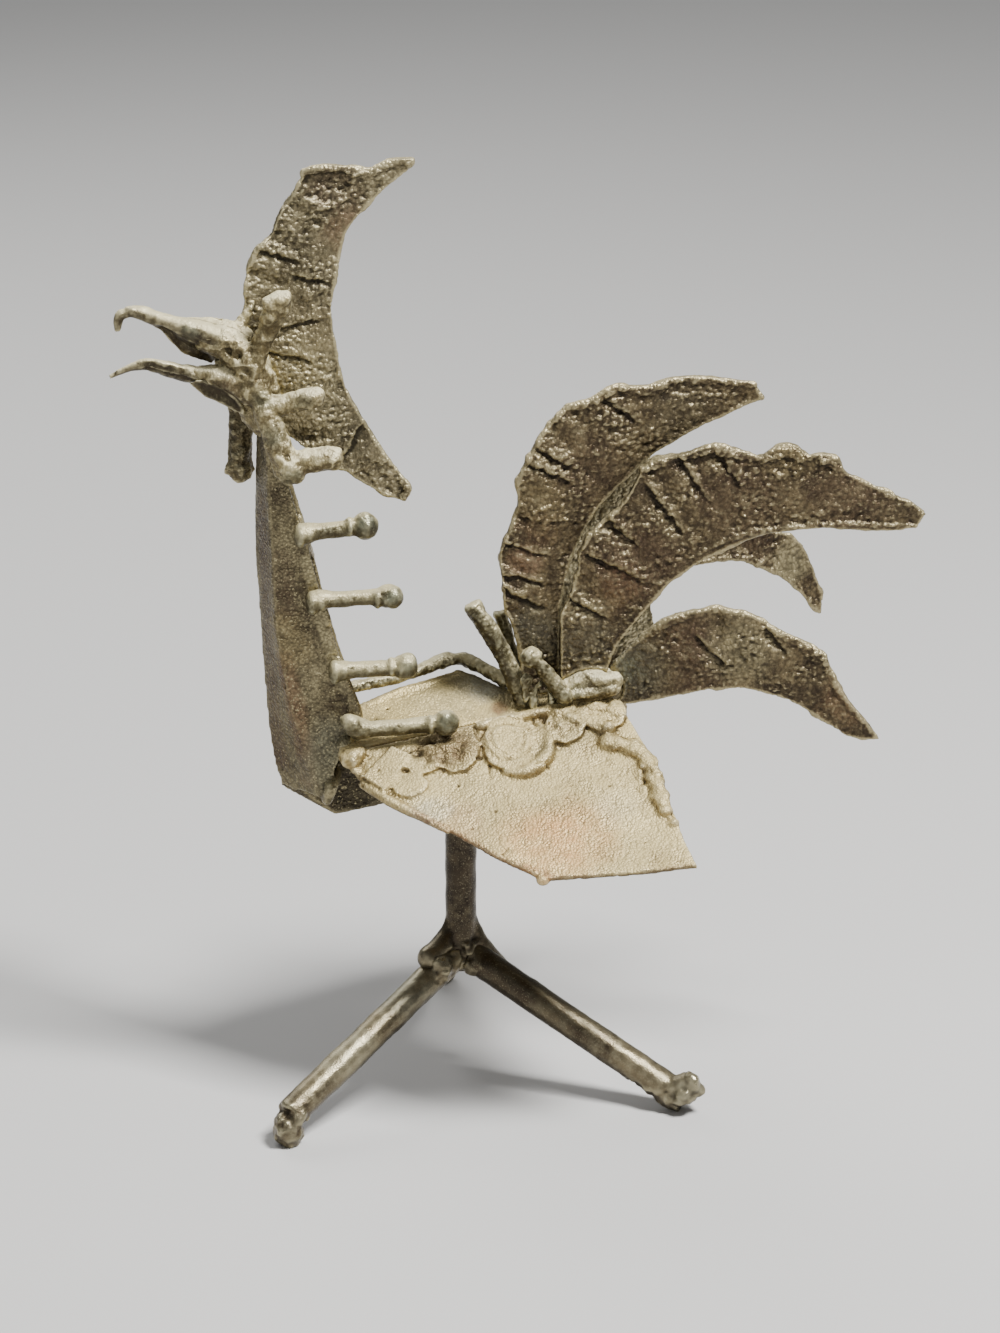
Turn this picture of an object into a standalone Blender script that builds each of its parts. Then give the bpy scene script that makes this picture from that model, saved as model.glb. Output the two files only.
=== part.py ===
"""A small rooster welded together from scrap steel: a tripod of round bar, a body of three
flat plates, a folded neck, a head built up from weld metal, and flame-cut comb and tail plates.

The rooster faces -X and its left side is -Y. Lengths in the tables are millimetres, unless a
table says that it holds hundredths of its plate's own length. Heights of the tripod are
measured from the floor, and heights of everything above it from the body's own level.
"""
import math

import bmesh
import bpy
from mathutils import Matrix, Vector

MM = 0.001

# Stock that the rooster is made of
BAR = 8.0             # round bar of the post and legs
PIN = 4.3             # round rod of the neck spikes
BALL = 7.0            # melted ball on the end of a neck spike
STUD = 5.2            # thicker rod of the studs and spikes on the head
TRIM_ROD = 3.3        # thin bent rod along the back
LOOP_WIRE = 1.9       # wire of the small loop at the foot of the tail
SHEET = 1.5           # plates of the body and neck
PLATE = 1.7           # flame-cut plates of the comb and tail
GAP = 0.3             # clearance left where two pieces are welded together

# Stand
POST_X = -1.2         # the post's axis, from the middle of the body
HIP_HEIGHT = 35.4     # where the legs' axes meet the post's axis
FOOT_BLOB = 8.2       # width of the weld metal on a foot
# Each leg's direction in degrees from +X, its reach from the post's axis to the middle of its
# foot, and whether it stands on a blob of weld metal or on its own cut end
LEGS = {
    "leg_front": (214.7, 59.0, True),
    "leg_back": (329.6, 61.0, False),
    "leg_right": (87.0, 60.0, True),
}

# Body
BODY_HEIGHT = 100.0   # level that the body, neck and tail are measured from
WING_LENGTH = 76.0
BACK_LENGTH = 67.0

# Neck, head and tail
NECK_NEAR = -5.5      # the neck's left face
COMB_LENGTH = 86.0
TAIL_LENGTH = 90.0    # the three upper tail plates
LOWER_TAIL_LENGTH = 72.0
TAIL_PLACE = 0.82     # how far along the wing's top edge the tail stands

root = None
whole = {}            # each piece's mesh before its neighbours cut into it


def clear_scene():
    for obj in list(bpy.data.objects):
        bpy.data.objects.remove(obj, do_unlink=True)


def metal(name, colour, roughness):
    material = bpy.data.materials.new(name)
    material.use_nodes = True
    shader = material.node_tree.nodes["Principled BSDF"]
    shader.inputs["Base Color"].default_value = (*colour, 1.0)
    shader.inputs["Metallic"].default_value = 0.85
    shader.inputs["Roughness"].default_value = roughness
    material.diffuse_color = (*colour, 1.0)
    return material


BRONZED = (0.20, 0.165, 0.105)
DUSTED = (0.42, 0.36, 0.25)
SILVERED = (0.33, 0.31, 0.25)
RUSTED = (0.25, 0.15, 0.09)


def make(name, verts, faces, place=(0, 0, 0), turn=None, colour=BRONZED, roughness=0.5):
    """Turn millimetre vertices into a closed, named object at its own place."""
    bm = bmesh.new()
    points = [bm.verts.new(Vector(v) * MM) for v in verts]
    for face in faces:
        bm.faces.new([points[i] for i in face])
    bmesh.ops.remove_doubles(bm, verts=bm.verts, dist=0.002 * MM)
    bmesh.ops.dissolve_degenerate(bm, edges=bm.edges, dist=0.001 * MM)
    bmesh.ops.recalc_face_normals(bm, faces=bm.faces)
    if bm.calc_volume(signed=True) < 0:
        bmesh.ops.reverse_faces(bm, faces=bm.faces)
    mesh = bpy.data.meshes.new(name)
    bm.to_mesh(mesh)
    bm.free()
    mesh.materials.append(metal(name + "_metal", colour, roughness))
    obj = bpy.data.objects.new(name, mesh)
    bpy.context.scene.collection.objects.link(obj)
    rotation = turn.to_euler() if turn else (0, 0, 0)
    obj.rotation_euler = rotation
    obj.location = Vector(place) * MM
    obj.parent = root
    whole[name] = mesh.copy()
    return obj


def curve_through(points, steps=4):
    """A smooth Catmull-Rom line through hand-placed points."""
    pts = [Vector(p) for p in points]
    line = []
    for i in range(len(pts) - 1):
        a = pts[max(i - 1, 0)]
        b, c = pts[i], pts[i + 1]
        d = pts[min(i + 2, len(pts) - 1)]
        for k in range(steps):
            t = k / steps
            line.append(0.5 * (2 * b + (c - a) * t + (2 * a - 5 * b + 4 * c - d) * t * t
                               + (3 * b - a - 3 * c + d) * t ** 3))
    line.append(pts[-1])
    return line


def lengths_along(line):
    total = [0.0]
    for a, b in zip(line, line[1:]):
        total.append(total[-1] + (b - a).length)
    return total


def point_at(line, total, distance):
    """The point a given distance along a line."""
    for i in range(len(line) - 1):
        if distance <= total[i + 1] or i == len(line) - 2:
            step = (distance - total[i]) / max(total[i + 1] - total[i], 1e-9)
            return line[i].lerp(line[i + 1], step)
    return line[-1].copy()


def sweep(name, path, section, stations, **looks):
    """Loft sections along a path. section(s, length) gives the ring's points (side, up)
    at a distance s, and stations gives the distances."""
    place = Vector(path[0])
    line = curve_through([Vector(p) - place for p in path], 6)
    total = lengths_along(line)
    length = total[-1]
    chord = (line[-1] - line[0]).normalized()
    guide = min((Vector((1, 0, 0)), Vector((0, 1, 0)), Vector((0, 0, 1))),
                key=lambda axis: abs(axis.dot(chord)))
    verts, rings = [], []
    for s in stations(length):
        here = point_at(line, total, s)
        step = max(length * 0.01, 0.05)
        ahead = point_at(line, total, min(s + step, length))
        behind = point_at(line, total, max(s - step, 0.0))
        tangent = (ahead - behind).normalized()
        side = (guide - tangent * guide.dot(tangent)).normalized()
        up = side.cross(tangent)
        ring = [here + side * a + up * b for a, b in section(s, length)]
        rings.append(range(len(verts), len(verts) + len(ring)))
        verts.extend(ring)
    faces = []
    for low, high in zip(rings, rings[1:]):
        count = len(low)
        for i in range(count):
            j = (i + 1) % count
            faces.append((low[i], low[j], high[j], high[i]))
    faces.append(tuple(rings[0]))
    faces.append(tuple(reversed(rings[-1])))
    return make(name, verts, faces, place, **looks)


def circle(radius, sides):
    return [(radius * math.cos(2 * math.pi * i / sides), radius * math.sin(2 * math.pi * i / sides))
            for i in range(sides)]


def rod(name, path, shaft, ball=None, collar=None, sides=8, **looks):
    """A round rod with a melted ball at its far end, or a cut end where no ball is given,
    and an optional weld collar at its root."""
    r = shaft / 2
    collar_r = (collar or shaft) / 2
    radii = {}

    def stations(length):
        rings = [(0.0, collar_r * 0.8), (0.6, collar_r), (collar_r * 1.5, r)] if collar else [(0.0, r)]
        if ball:
            ball_r = ball / 2
            neck = math.asin(min(r / ball_r, 1.0))
            start = length - ball_r - ball_r * math.cos(neck)
            turns = 4
            for k in range(turns + 1):
                angle = math.pi - neck - (math.pi - neck - 0.35) * k / turns
                rings.append((length - ball_r + ball_r * math.cos(angle), ball_r * math.sin(angle)))
        else:
            chamfer = r * 0.12
            start = length - chamfer
            rings += [(start, r), (length, r - chamfer)]
        bends = 2 * (len(path) - 1) if len(path) > 2 else 2
        rings += [(start * k / bends, r) for k in range(1, bends) if start * k / bends > collar_r * 1.6]
        radii.update(rings)
        return sorted(radii)

    return sweep(name, path, lambda s, length: circle(radii[s], sides), stations, **looks)


def lump(name, path, radii, squash=1.0, sides=12, **looks):
    """A run of weld metal: a tube whose radius follows the given values along its path."""
    count = len(radii) - 1
    rings = 3 * count

    def radius(share):
        i = min(int(share * count), count - 1)
        t = share * count - i
        t = t * t * (3 - 2 * t)
        cap = math.sqrt(max(1 - (2 * share - 1) ** 8, 0.0))
        return (radii[i] * (1 - t) + radii[i + 1] * t) * max(cap, 0.25)

    def section(s, length):
        return [(a * squash, b) for a, b in circle(radius(s / length), sides)]

    def stations(length):
        return [length * k / rings for k in range(rings + 1)]

    return sweep(name, path, section, stations, **looks)


def horn(name, path, heights, width_share, **looks):
    """A folded beak: a ridge on top, two flanks and a keel, thinning along the path."""
    count = len(heights) - 1

    def section(s, length):
        share = s / length * count
        i = min(int(share), count - 1)
        h = heights[i] + (heights[i + 1] - heights[i]) * (share - i)
        w = h * width_share / 2
        return [(0, h / 2), (-w * 0.75, h * 0.28), (-w, -h * 0.06), (-w * 0.6, -h * 0.34),
                (0, -h / 2), (w * 0.6, -h * 0.34), (w, -h * 0.06), (w * 0.75, h * 0.28)]

    def stations(length):
        return [length * k / (2 * count) for k in range(2 * count + 1)]

    return sweep(name, path, section, stations, **looks)


def crescent(name, outer, inner, size, place, flare, creases, rows=26, side=1.0, **looks):
    """An upright flame-cut plate between two edges, hammered across its width at the creases.

    outer and inner are hundredths of size, and both edges end at the plate's tip. flare swings
    that tip towards the left side. side is 1 where the plate's crown faces left."""
    edges = []
    for edge in (outer, inner):
        line = curve_through([(u * size / 100, v * size / 100) for u, v in edge])
        edges.append((line, lengths_along(line)))
    shares = sorted({k / rows for k in range(rows + 1)}
                    | {c + d for c in creases for d in (-0.018, 0.0, 0.018)})
    shares = [s for i, s in enumerate(shares) if i == 0 or s - shares[i - 1] > 0.004]
    columns = (0.0, 0.3, 0.65, 1.0)
    grid = []
    for share in shares:
        a, b = (point_at(line, total, share * total[-1]) for line, total in edges)
        dent = sum(0.9 * math.exp(-((share - c) / 0.014) ** 2) for c in creases)
        row = []
        for column in columns:
            u, v = a.lerp(b, column)
            fade = max(1.0 - column * 1.3, 0.0)
            crown = 0.7 * math.sin(math.pi * column) * math.sin(math.pi * share)
            row.append((u, (dent * fade - crown) * side, v))
        grid.append(row)
    verts = [(u, w + face * PLATE / 2, v) for face in (-1, 1) for row in grid for u, w, v in row]
    width, depth = len(columns), len(grid)
    layer = width * depth
    faces = []
    for i in range(depth - 1):
        for j in range(width - 1):
            a = i * width + j
            quad = (a, a + 1, a + 1 + width, a + width)
            faces.append(quad)
            faces.append(tuple(layer + k for k in reversed(quad)))
    rim = [j for j in range(width)]
    rim += [i * width + width - 1 for i in range(1, depth)]
    rim += [(depth - 1) * width + j for j in range(width - 2, -1, -1)]
    rim += [i * width for i in range(depth - 2, 0, -1)]
    for a, b in zip(rim, rim[1:] + rim[:1]):
        faces.append((a, a + layer, b + layer, b))
    return make(name, verts, faces, place, Matrix.Rotation(math.radians(-flare), 3, "Z"), **looks)


def panel(name, outline, size, corners, thickness=SHEET, **looks):
    """A flat plate. corners are its origin, a point along its top edge and a point below it;
    outline is in hundredths of size, along and across that edge."""
    origin, along, across = (Vector(c) for c in corners)
    u = (along - origin).normalized()
    normal = u.cross(across - origin).normalized()
    v = normal.cross(u)
    turn = Matrix((u, v, normal)).transposed()
    points = [(x * size / 100, y * size / 100) for x, y in outline]
    count = len(points)
    verts = [(x, y, side * thickness / 2) for side in (-1, 1) for x, y in points]
    faces = [tuple(range(count)), tuple(range(2 * count - 1, count - 1, -1))]
    for i in range(count):
        j = (i + 1) % count
        faces.append((i, i + count, j + count, j))
    return make(name, verts, faces, origin, turn, **looks)


def apply_modifiers(obj):
    bpy.context.view_layer.update()
    depsgraph = bpy.context.evaluated_depsgraph_get()
    mesh = bpy.data.meshes.new_from_object(obj.evaluated_get(depsgraph))
    obj.modifiers.clear()
    obj.data = mesh


def keep_main_body(obj):
    """Clean a cut mesh, drop the slivers that the cut left, and keep the largest body."""
    bm = bmesh.new()
    bm.from_mesh(obj.data)
    bmesh.ops.remove_doubles(bm, verts=bm.verts, dist=0.01 * MM)
    bmesh.ops.dissolve_degenerate(bm, edges=bm.edges, dist=0.005 * MM)
    bmesh.ops.triangulate(bm, faces=bm.faces)
    unseen = set(bm.verts)
    bodies = []
    while unseen:
        stack = [unseen.pop()]
        body = set(stack)
        while stack:
            for edge in stack.pop().link_edges:
                for vert in edge.verts:
                    if vert in unseen:
                        unseen.remove(vert)
                        body.add(vert)
                        stack.append(vert)
        bodies.append(body)

    def spread(body):
        low = [min(v.co[i] for v in body) for i in range(3)]
        high = [max(v.co[i] for v in body) for i in range(3)]
        return math.dist(low, high)

    bodies.sort(key=spread, reverse=True)
    for body in bodies[1:]:
        bmesh.ops.delete(bm, geom=list(body), context="VERTS")
    bm.to_mesh(obj.data)
    bm.free()


def grown_copy(obj):
    """A copy of a whole piece, larger by the weld gap all over, to cut its neighbour with."""
    bm = bmesh.new()
    bm.from_mesh(whole[obj.name])
    bm.normal_update()
    moves = [(v, v.normal * GAP * MM * min(v.calc_shell_factor(), 1.8)) for v in bm.verts]
    for vert, move in moves:
        vert.co += move
    mesh = bpy.data.meshes.new(obj.name + "_grown")
    bm.to_mesh(mesh)
    bm.free()
    cutter = bpy.data.objects.new(obj.name + "_cutter", mesh)
    bpy.context.scene.collection.objects.link(cutter)
    cutter.parent = root
    cutter.location = obj.location
    cutter.rotation_euler = obj.rotation_euler
    return cutter


def cope(obj, *neighbours):
    """Cut a piece back to where its neighbours stand, with the weld gap between them."""
    for other in neighbours:
        cutter = grown_copy(other)
        cut = obj.modifiers.new("cope", "BOOLEAN")
        cut.operation = "DIFFERENCE"
        cut.solver = "EXACT"
        cut.object = cutter
        apply_modifiers(obj)
        bpy.data.objects.remove(cutter, do_unlink=True)
        keep_main_body(obj)


def weld_on(obj, other):
    """Fuse a second shape into a piece and remove the second one."""
    join = obj.modifiers.new("join", "BOOLEAN")
    join.operation = "UNION"
    join.solver = "EXACT"
    join.object = other
    apply_modifiers(obj)
    bpy.data.objects.remove(other, do_unlink=True)
    keep_main_body(obj)


def flatten_foot(obj):
    """Grind a foot flat where it stands on the floor."""
    bm = bmesh.new()
    bm.from_mesh(obj.data)
    floor = Vector((0, 0, -obj.location.z))
    geometry = bm.verts[:] + bm.edges[:] + bm.faces[:]
    bmesh.ops.bisect_plane(bm, geom=geometry, plane_co=floor, plane_no=(0, 0, -1),
                           clear_outer=True, dist=0.001 * MM)
    open_edges = [edge for edge in bm.edges if edge.is_boundary]
    bmesh.ops.holes_fill(bm, edges=open_edges)
    bmesh.ops.recalc_face_normals(bm, faces=bm.faces)
    bm.to_mesh(obj.data)
    bm.free()


def stand():
    """The post and its three legs. Weld metal is melted on each foot, under it or on top."""
    post = rod("post", [(POST_X, 0, HIP_HEIGHT - BAR * 0.66), (POST_X, 0, BODY_HEIGHT + 6)], BAR,
               sides=16, colour=SILVERED, roughness=0.4)
    hip = Vector((POST_X, 0, HIP_HEIGHT))
    legs = []
    for name, (direction, reach, blob) in LEGS.items():
        angle = math.radians(direction)
        out = Vector((math.cos(angle), math.sin(angle), 0))
        foot = out * reach + Vector((POST_X, 0, 0))
        end = foot + Vector((0, 0, BAR * 0.95 if blob else BAR * 0.38))
        start = hip + (end - hip).normalized()
        leg = rod(name, [start, end], BAR, sides=14, colour=SILVERED, roughness=0.4)
        if blob:
            centre = foot + Vector((0, 0, FOOT_BLOB * 0.36))
        else:
            centre = end + Vector((0, 0, BAR * 0.42))
        step = out * FOOT_BLOB * 0.48
        weld = lump(name + "_foot", [centre - step, centre, centre + step],
                    [FOOT_BLOB * 0.36, FOOT_BLOB * 0.5, FOOT_BLOB * 0.4], sides=10)
        weld_on(leg, weld)
        flatten_foot(leg)
        whole[name] = leg.data.copy()
        legs.append(leg)
    cope(legs[0], post)
    cope(legs[1], post, legs[0])
    cope(legs[2], post, legs[0], legs[1])
    return post, legs


# The neck's cross-section at each height above the body's level: where its rear left edge,
# left fold, right fold, keel and rear right edge lie, each as (X, Y, Z)
NECK_ROWS = (
    ((-45.3, 0, 76), (-49.0, 1, 76), (-50.2, 7.5, 74), (-47.5, 8.8, 74), (-43.5, 9.4, 74)),
    ((-44.4, 0, 64), (-48.5, 1, 64), (-50.4, 8.3, 62), (-46.5, 9.4, 62), (-42.6, 10, 62)),
    ((-39.3, 0, 46), (-47.9, 1, 47), (-50.7, 8.5, 44), (-44.5, 9.8, 45), (-38.0, 10.4, 46)),
    ((-35.1, 0, 28), (-47.2, 1, 27), (-49.9, 8.7, 27), (-42.0, 10, 27), (-34.0, 10.6, 28)),
    ((-29.4, 0, 10), (-45.4, 1, 13), (-49.0, 8.9, 11), (-38.5, 10.3, 10), (-28.8, 10.9, 10)),
    ((-28.0, 0, 5), (-44.0, 1, 5), (-48.3, 9, 2), (-37.5, 10.4, 2), (-27.6, 11, 0)),
    ((-30.8, 0, -5.5), (-41.0, 1, -5.5), (-47.3, 9, -7), (-34.0, 10.5, -6), (-20.0, 11, -4.5)),
    ((-33.8, 0, -12), (-39.2, 1, -13), (-46.0, 8.9, -14), (-32.5, 10.5, -17), (-17.2, 11, -12)),
    ((-34.6, 0, -20), (-37.6, 1, -19), (-44.8, 8.5, -18.3), (-32.6, 9.5, -27.5), (-17.2, 11, -25.5)),
)


def neck():
    """The folded neck: one sheet bent twice along its length and open at the rear."""
    base = Vector((NECK_ROWS[-1][2][0], NECK_NEAR, BODY_HEIGHT + NECK_ROWS[-1][2][2]))
    rows = [[Vector((x, NECK_NEAR + y, BODY_HEIGHT + z)) - base for x, y, z in row]
            for row in NECK_ROWS]
    columns = [curve_through([row[j] for row in rows], 2) for j in range(len(rows[0]))]
    grid = list(zip(*columns))
    verts = [p for row in grid for p in row]
    width = len(columns)
    faces = [(i * width + j, i * width + j + 1, (i + 1) * width + j + 1, (i + 1) * width + j)
             for i in range(len(grid) - 1) for j in range(width - 1)]
    bm = bmesh.new()
    points = [bm.verts.new(Vector(v) * MM) for v in verts]
    for face in faces:
        bm.faces.new([points[i] for i in face])
    mesh = bpy.data.meshes.new("neck_sheet")
    bm.to_mesh(mesh)
    bm.free()
    mesh.materials.append(metal("neck_sheet_metal", RUSTED, 0.42))
    obj = bpy.data.objects.new("neck_sheet", mesh)
    bpy.context.scene.collection.objects.link(obj)
    obj.parent = root
    obj.location = base * MM
    solid = obj.modifiers.new("thickness", "SOLIDIFY")
    solid.thickness = SHEET * MM
    solid.offset = 0.0
    solid.use_even_offset = True
    apply_modifiers(obj)
    whole[obj.name] = obj.data.copy()
    return obj


# Root, tip and optional bend of each neck spike: X and height above the body's level
NECK_SPIKES = (
    ((-41.2, 51.2), (-22.4, 52.6)),
    ((-38.5, 33.8), (-16.5, 34.0)),
    ((-33.2, 15.2), (-12.8, 15.5)),
    ((-30.2, 3.0), (-27.6, -0.4), (-2.8, 0.4)),
)


def neck_spikes():
    """Four round spikes with melted ends, welded to the neck's left face at its rear edge."""
    side = NECK_NEAR - SHEET / 2 - PIN / 2
    spikes = []
    for k, points in enumerate(NECK_SPIKES):
        path = [(x, side + 0.3 - 0.4 * i, BODY_HEIGHT + z) for i, (x, z) in enumerate(points)]
        spikes.append(rod(f"neck_spike_{k + 1}", path, PIN, BALL, PIN * 1.35, colour=SILVERED,
                          roughness=0.38))
    return spikes


def at(x, y, z):
    """A point given from the post's axis and the body's level."""
    return (x, y, BODY_HEIGHT + z)


COMB_OUTER = ((41, -28.5), (36, -26.5), (29.5, -22.5), (22.5, -17.5), (11.5, -10.5), (5.5, -4.5),
              (0.5, 3), (-2.5, 19.5), (-4, 29), (-2.5, 41.5), (0, 47), (4, 51), (6, 56.5),
              (10, 61.5), (12.5, 66.5), (15, 69.5), (22, 70), (32.5, 68), (40.5, 72), (43.5, 71.5))
COMB_INNER = ((41, -28.5), (43, -25), (39.5, -20), (33.5, -11.5), (28, -2), (24, 6.5), (21.5, 17.5),
              (20.5, 30), (22, 40), (24, 49.5), (28, 55.5), (35, 62.5), (42.5, 68.5), (43.5, 71.5))


def head():
    """The weld metal of the head and everything that stands on it."""
    pieces = {}
    pieces["head"] = lump("head", [at(-61.5, -1, 99), at(-57, -1, 97.5), at(-53, -1.2, 90.5),
                                   at(-50, -1.2, 82), at(-47, -1.2, 73)],
                          [4.6, 6.4, 5.8, 5.4, 3.4], squash=0.95, colour=DUSTED, roughness=0.6)
    pieces["comb"] = crescent("comb", COMB_OUTER, COMB_INNER, COMB_LENGTH, at(-50, 1, 80), 0,
                              creases=(0.24, 0.33, 0.58, 0.66, 0.73), rows=30, roughness=0.6)
    beak = [at(-59, -1, 98.6), at(-64, -1, 99.4), at(-68.5, -1, 101), at(-73.5, -1, 103.8),
            at(-79, -1, 106.6), at(-82.6, -1, 106.6), at(-84.3, -1, 104.6), at(-83.8, -1, 102.2)]
    pieces["upper_beak"] = horn("upper_beak", beak, [12.5, 11.5, 9.3, 6.2, 3.4, 2.4, 2.0, 1.2], 0.8,
                                colour=SILVERED, roughness=0.4)
    low = [at(-58, -1.5, 89.5), at(-63.7, -1.8, 90.2), at(-69.4, -2, 91.6), at(-74, -2, 92.8),
           at(-78, -2, 93.8), at(-82.5, -2, 92.8), at(-86.6, -2, 91)]
    pieces["lower_beak"] = horn("lower_beak", low, [5, 3.6, 4.6, 4.0, 2.9, 2.1, 1.3], 1.25,
                                colour=SILVERED, roughness=0.45)
    leaf = ((-49, 22), (-31, 24), (-13, 23), (10, 10), (37, -8.5), (52, -33), (40, -33), (20, -26),
            (0, -13), (-25, -2))
    pieces["throat_leaf"] = panel("throat_leaf", leaf, 16.0, (at(-60, -4, 86), at(-50, -4, 86),
                                                             at(-60, -4, 96)), 1.2, colour=RUSTED)
    left = NECK_NEAR - SHEET / 2 - STUD / 2
    pieces["eye_stud_left"] = rod("eye_stud_left", [at(-53, -4.5, 91), at(-49, -6.8, 101),
                                                    at(-44.8, -9, 111.4)], STUD - 0.3, STUD + 0.6,
                                  STUD * 1.3, colour=DUSTED)
    pieces["eye_stud_right"] = rod("eye_stud_right", [at(-53, 2.5, 91), at(-49.5, 5.2, 100),
                                                      at(-46, 8, 109.5)], STUD - 0.3, STUD + 0.6,
                                   STUD * 1.3, colour=DUSTED)
    pieces["ear_spike"] = rod("ear_spike", [at(-48.3, -5, 82), at(-42, -8.4, 84.8),
                                            at(-36.6, -10.5, 86.4)], STUD - 0.4, STUD + 0.2,
                              colour=DUSTED)
    pieces["wattle_left"] = rod("wattle_left", [at(-50.8, -7, 87), at(-47.3, left + 0.2, 77),
                                                at(-42.8, left - 0.4, 65.6)], STUD + 0.2, STUD + 1.6,
                                colour=DUSTED)
    pieces["cheek_spike"] = rod("cheek_spike", [at(-43.6, left + 1.5, 68.6), at(-38, left - 0.6, 69.8),
                                                at(-31, left - 1.4, 71)], STUD + 0.4, STUD + 0.8,
                                colour=DUSTED)
    pieces["wattle_right"] = rod("wattle_right", [at(-53, 5, 88), at(-53.8, 8.2, 78),
                                                  at(-54.4, 8.6, 59.8)], STUD + 1.4, STUD + 2.6,
                                 colour=RUSTED)
    return pieces


# Outlines of the body's plates, along and down from their top edge, in hundredths of WING_LENGTH
# or BACK_LENGTH
WING_OUTLINE = ((-2, 1), (1.5, 11), (10, 23), (18.5, 31), (28.5, 42), (38, 52.5), (50.5, 64),
                (79, 69), (99.5, 71.5), (98, 62), (97.5, 41), (96.5, 26.5), (94.5, 14.5), (92.5, 5.5),
                (87.5, 0.3), (60, 0.3), (30, 0.3))
BACK_OUTLINE = ((-2, 0), (-1.5, 12), (10.5, 23), (26, 27.5), (48, 30), (51, 31), (57, 25.5), (64, 17),
                (72, 12), (86, 9), (100, 6), (104, 0))

# Corners of the planes that the body's plates lie in
SEAM_FRONT = at(-31.3, -7, -6.8)
SEAM_REAR = at(34.5, -3, 2.3)
WING_LOW = at(14.1, -45, -28.8)
BACK_APEX = at(0.3, 14, 5.4)
RIGHT_FRONT = at(-29, 7.0, -2.6)
RIGHT_REAR = at(33, 5.5, 2.4)
RIGHT_LOW = at(14, 45, -29.5)


def body():
    """The back plate, tilted towards the left, and a wing hanging from each of its sides."""
    back = panel("back_plate", BACK_OUTLINE, BACK_LENGTH, (SEAM_FRONT, SEAM_REAR, BACK_APEX),
                 colour=DUSTED, roughness=0.6)
    left = panel("left_wing", WING_OUTLINE, WING_LENGTH, (SEAM_FRONT, SEAM_REAR, WING_LOW),
                 colour=DUSTED, roughness=0.6)
    right = panel("right_wing", WING_OUTLINE, WING_LENGTH, (RIGHT_FRONT, RIGHT_REAR, RIGHT_LOW),
                  colour=DUSTED, roughness=0.6)
    return back, left, right


TOP_OUTER = ((-6, 2), (-7, 15.5), (-11, 27), (-12, 34.5), (-12, 45), (-9.5, 49), (-7.5, 55.5),
             (-7.5, 62.5), (-3.5, 71.5), (1, 78), (7, 83.5), (12.5, 84), (20, 88.5), (28, 87.5),
             (38, 90.5), (44, 89), (57.5, 88), (60.5, 83.5))
TOP_INNER = ((4, 0), (4, 23), (5, 30.5), (6.5, 38), (9.5, 45), (13.5, 53), (18.5, 58.5), (24, 63.5),
             (29, 68.5), (40.5, 75), (49, 79), (56.5, 82), (60.5, 83.5))
MIDDLE_OUTER = ((-7, 0), (-7, 25), (-4, 31.5), (-2.5, 37), (-1.5, 45), (7.5, 54), (12, 60),
                (15, 66.5), (19, 69), (26.5, 70.5), (35, 72.5), (41.5, 71), (47, 69), (54, 71.5),
                (57.5, 71), (59.5, 68.5), (66, 69.5), (68.5, 66), (73.5, 63), (81.5, 59), (91, 55),
                (93.5, 52.5))
MIDDLE_INNER = ((4, 0), (7, 13), (10.5, 18.5), (17.5, 27.5), (22.5, 33.5), (29.5, 38.5), (36.5, 42.5),
                (45.5, 46.5), (52.5, 49), (61, 49), (75, 48.5), (89, 48), (93.5, 52.5))
LOWER_OUTER = ((-6.5, 1.5), (0.5, 9), (7, 16), (17, 25.5), (23.5, 30), (37, 32), (42.5, 31), (52.5, 29),
               (56, 25), (61, 21.5), (66.5, 20.5), (74.5, 15), (78, 7.5), (83, -0.5), (90.5, -9.5),
               (94.5, -14.5))
LOWER_INNER = ((-4, -3.5), (4, -3.5), (14.5, -1.5), (27, 1), (36.5, 3), (46, 3.5), (54.5, 2),
               (62.5, -0.5), (71.5, -5.5), (78.5, -10.5), (84, -14), (94.5, -14.5))
FAR_OUTER = ((-2, -1), (6, 12), (28, 41), (51.5, 49), (76, 44.5), (83, 40), (86, 36.5), (89.5, 27),
             (93, 18), (92, 12.5))
FAR_INNER = ((14, -4), (26.5, 11.5), (23.5, 24.5), (31, 33), (40.5, 37.5), (51.5, 38.5), (63.5, 36.5),
             (71.5, 32.5), (78.5, 27), (84.5, 22), (92, 12.5))
SHORT_OUTER = ((-4, 0), (-3, 22), (2, 38), (8, 50), (15, 59), (26, 64), (38, 64), (50, 59))
SHORT_INNER = ((6, 0), (9, 18), (14, 30), (22, 40), (32, 47), (42, 52), (50, 59))


def at_tail(x, y, z):
    """A point given from the root of the tail, which stands near the seam's rear end."""
    front, rear = Vector(SEAM_FRONT), Vector(SEAM_REAR)
    root_of_tail = front + (rear - front).normalized() * WING_LENGTH * TAIL_PLACE
    return root_of_tail + Vector((x, y, z))


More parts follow.
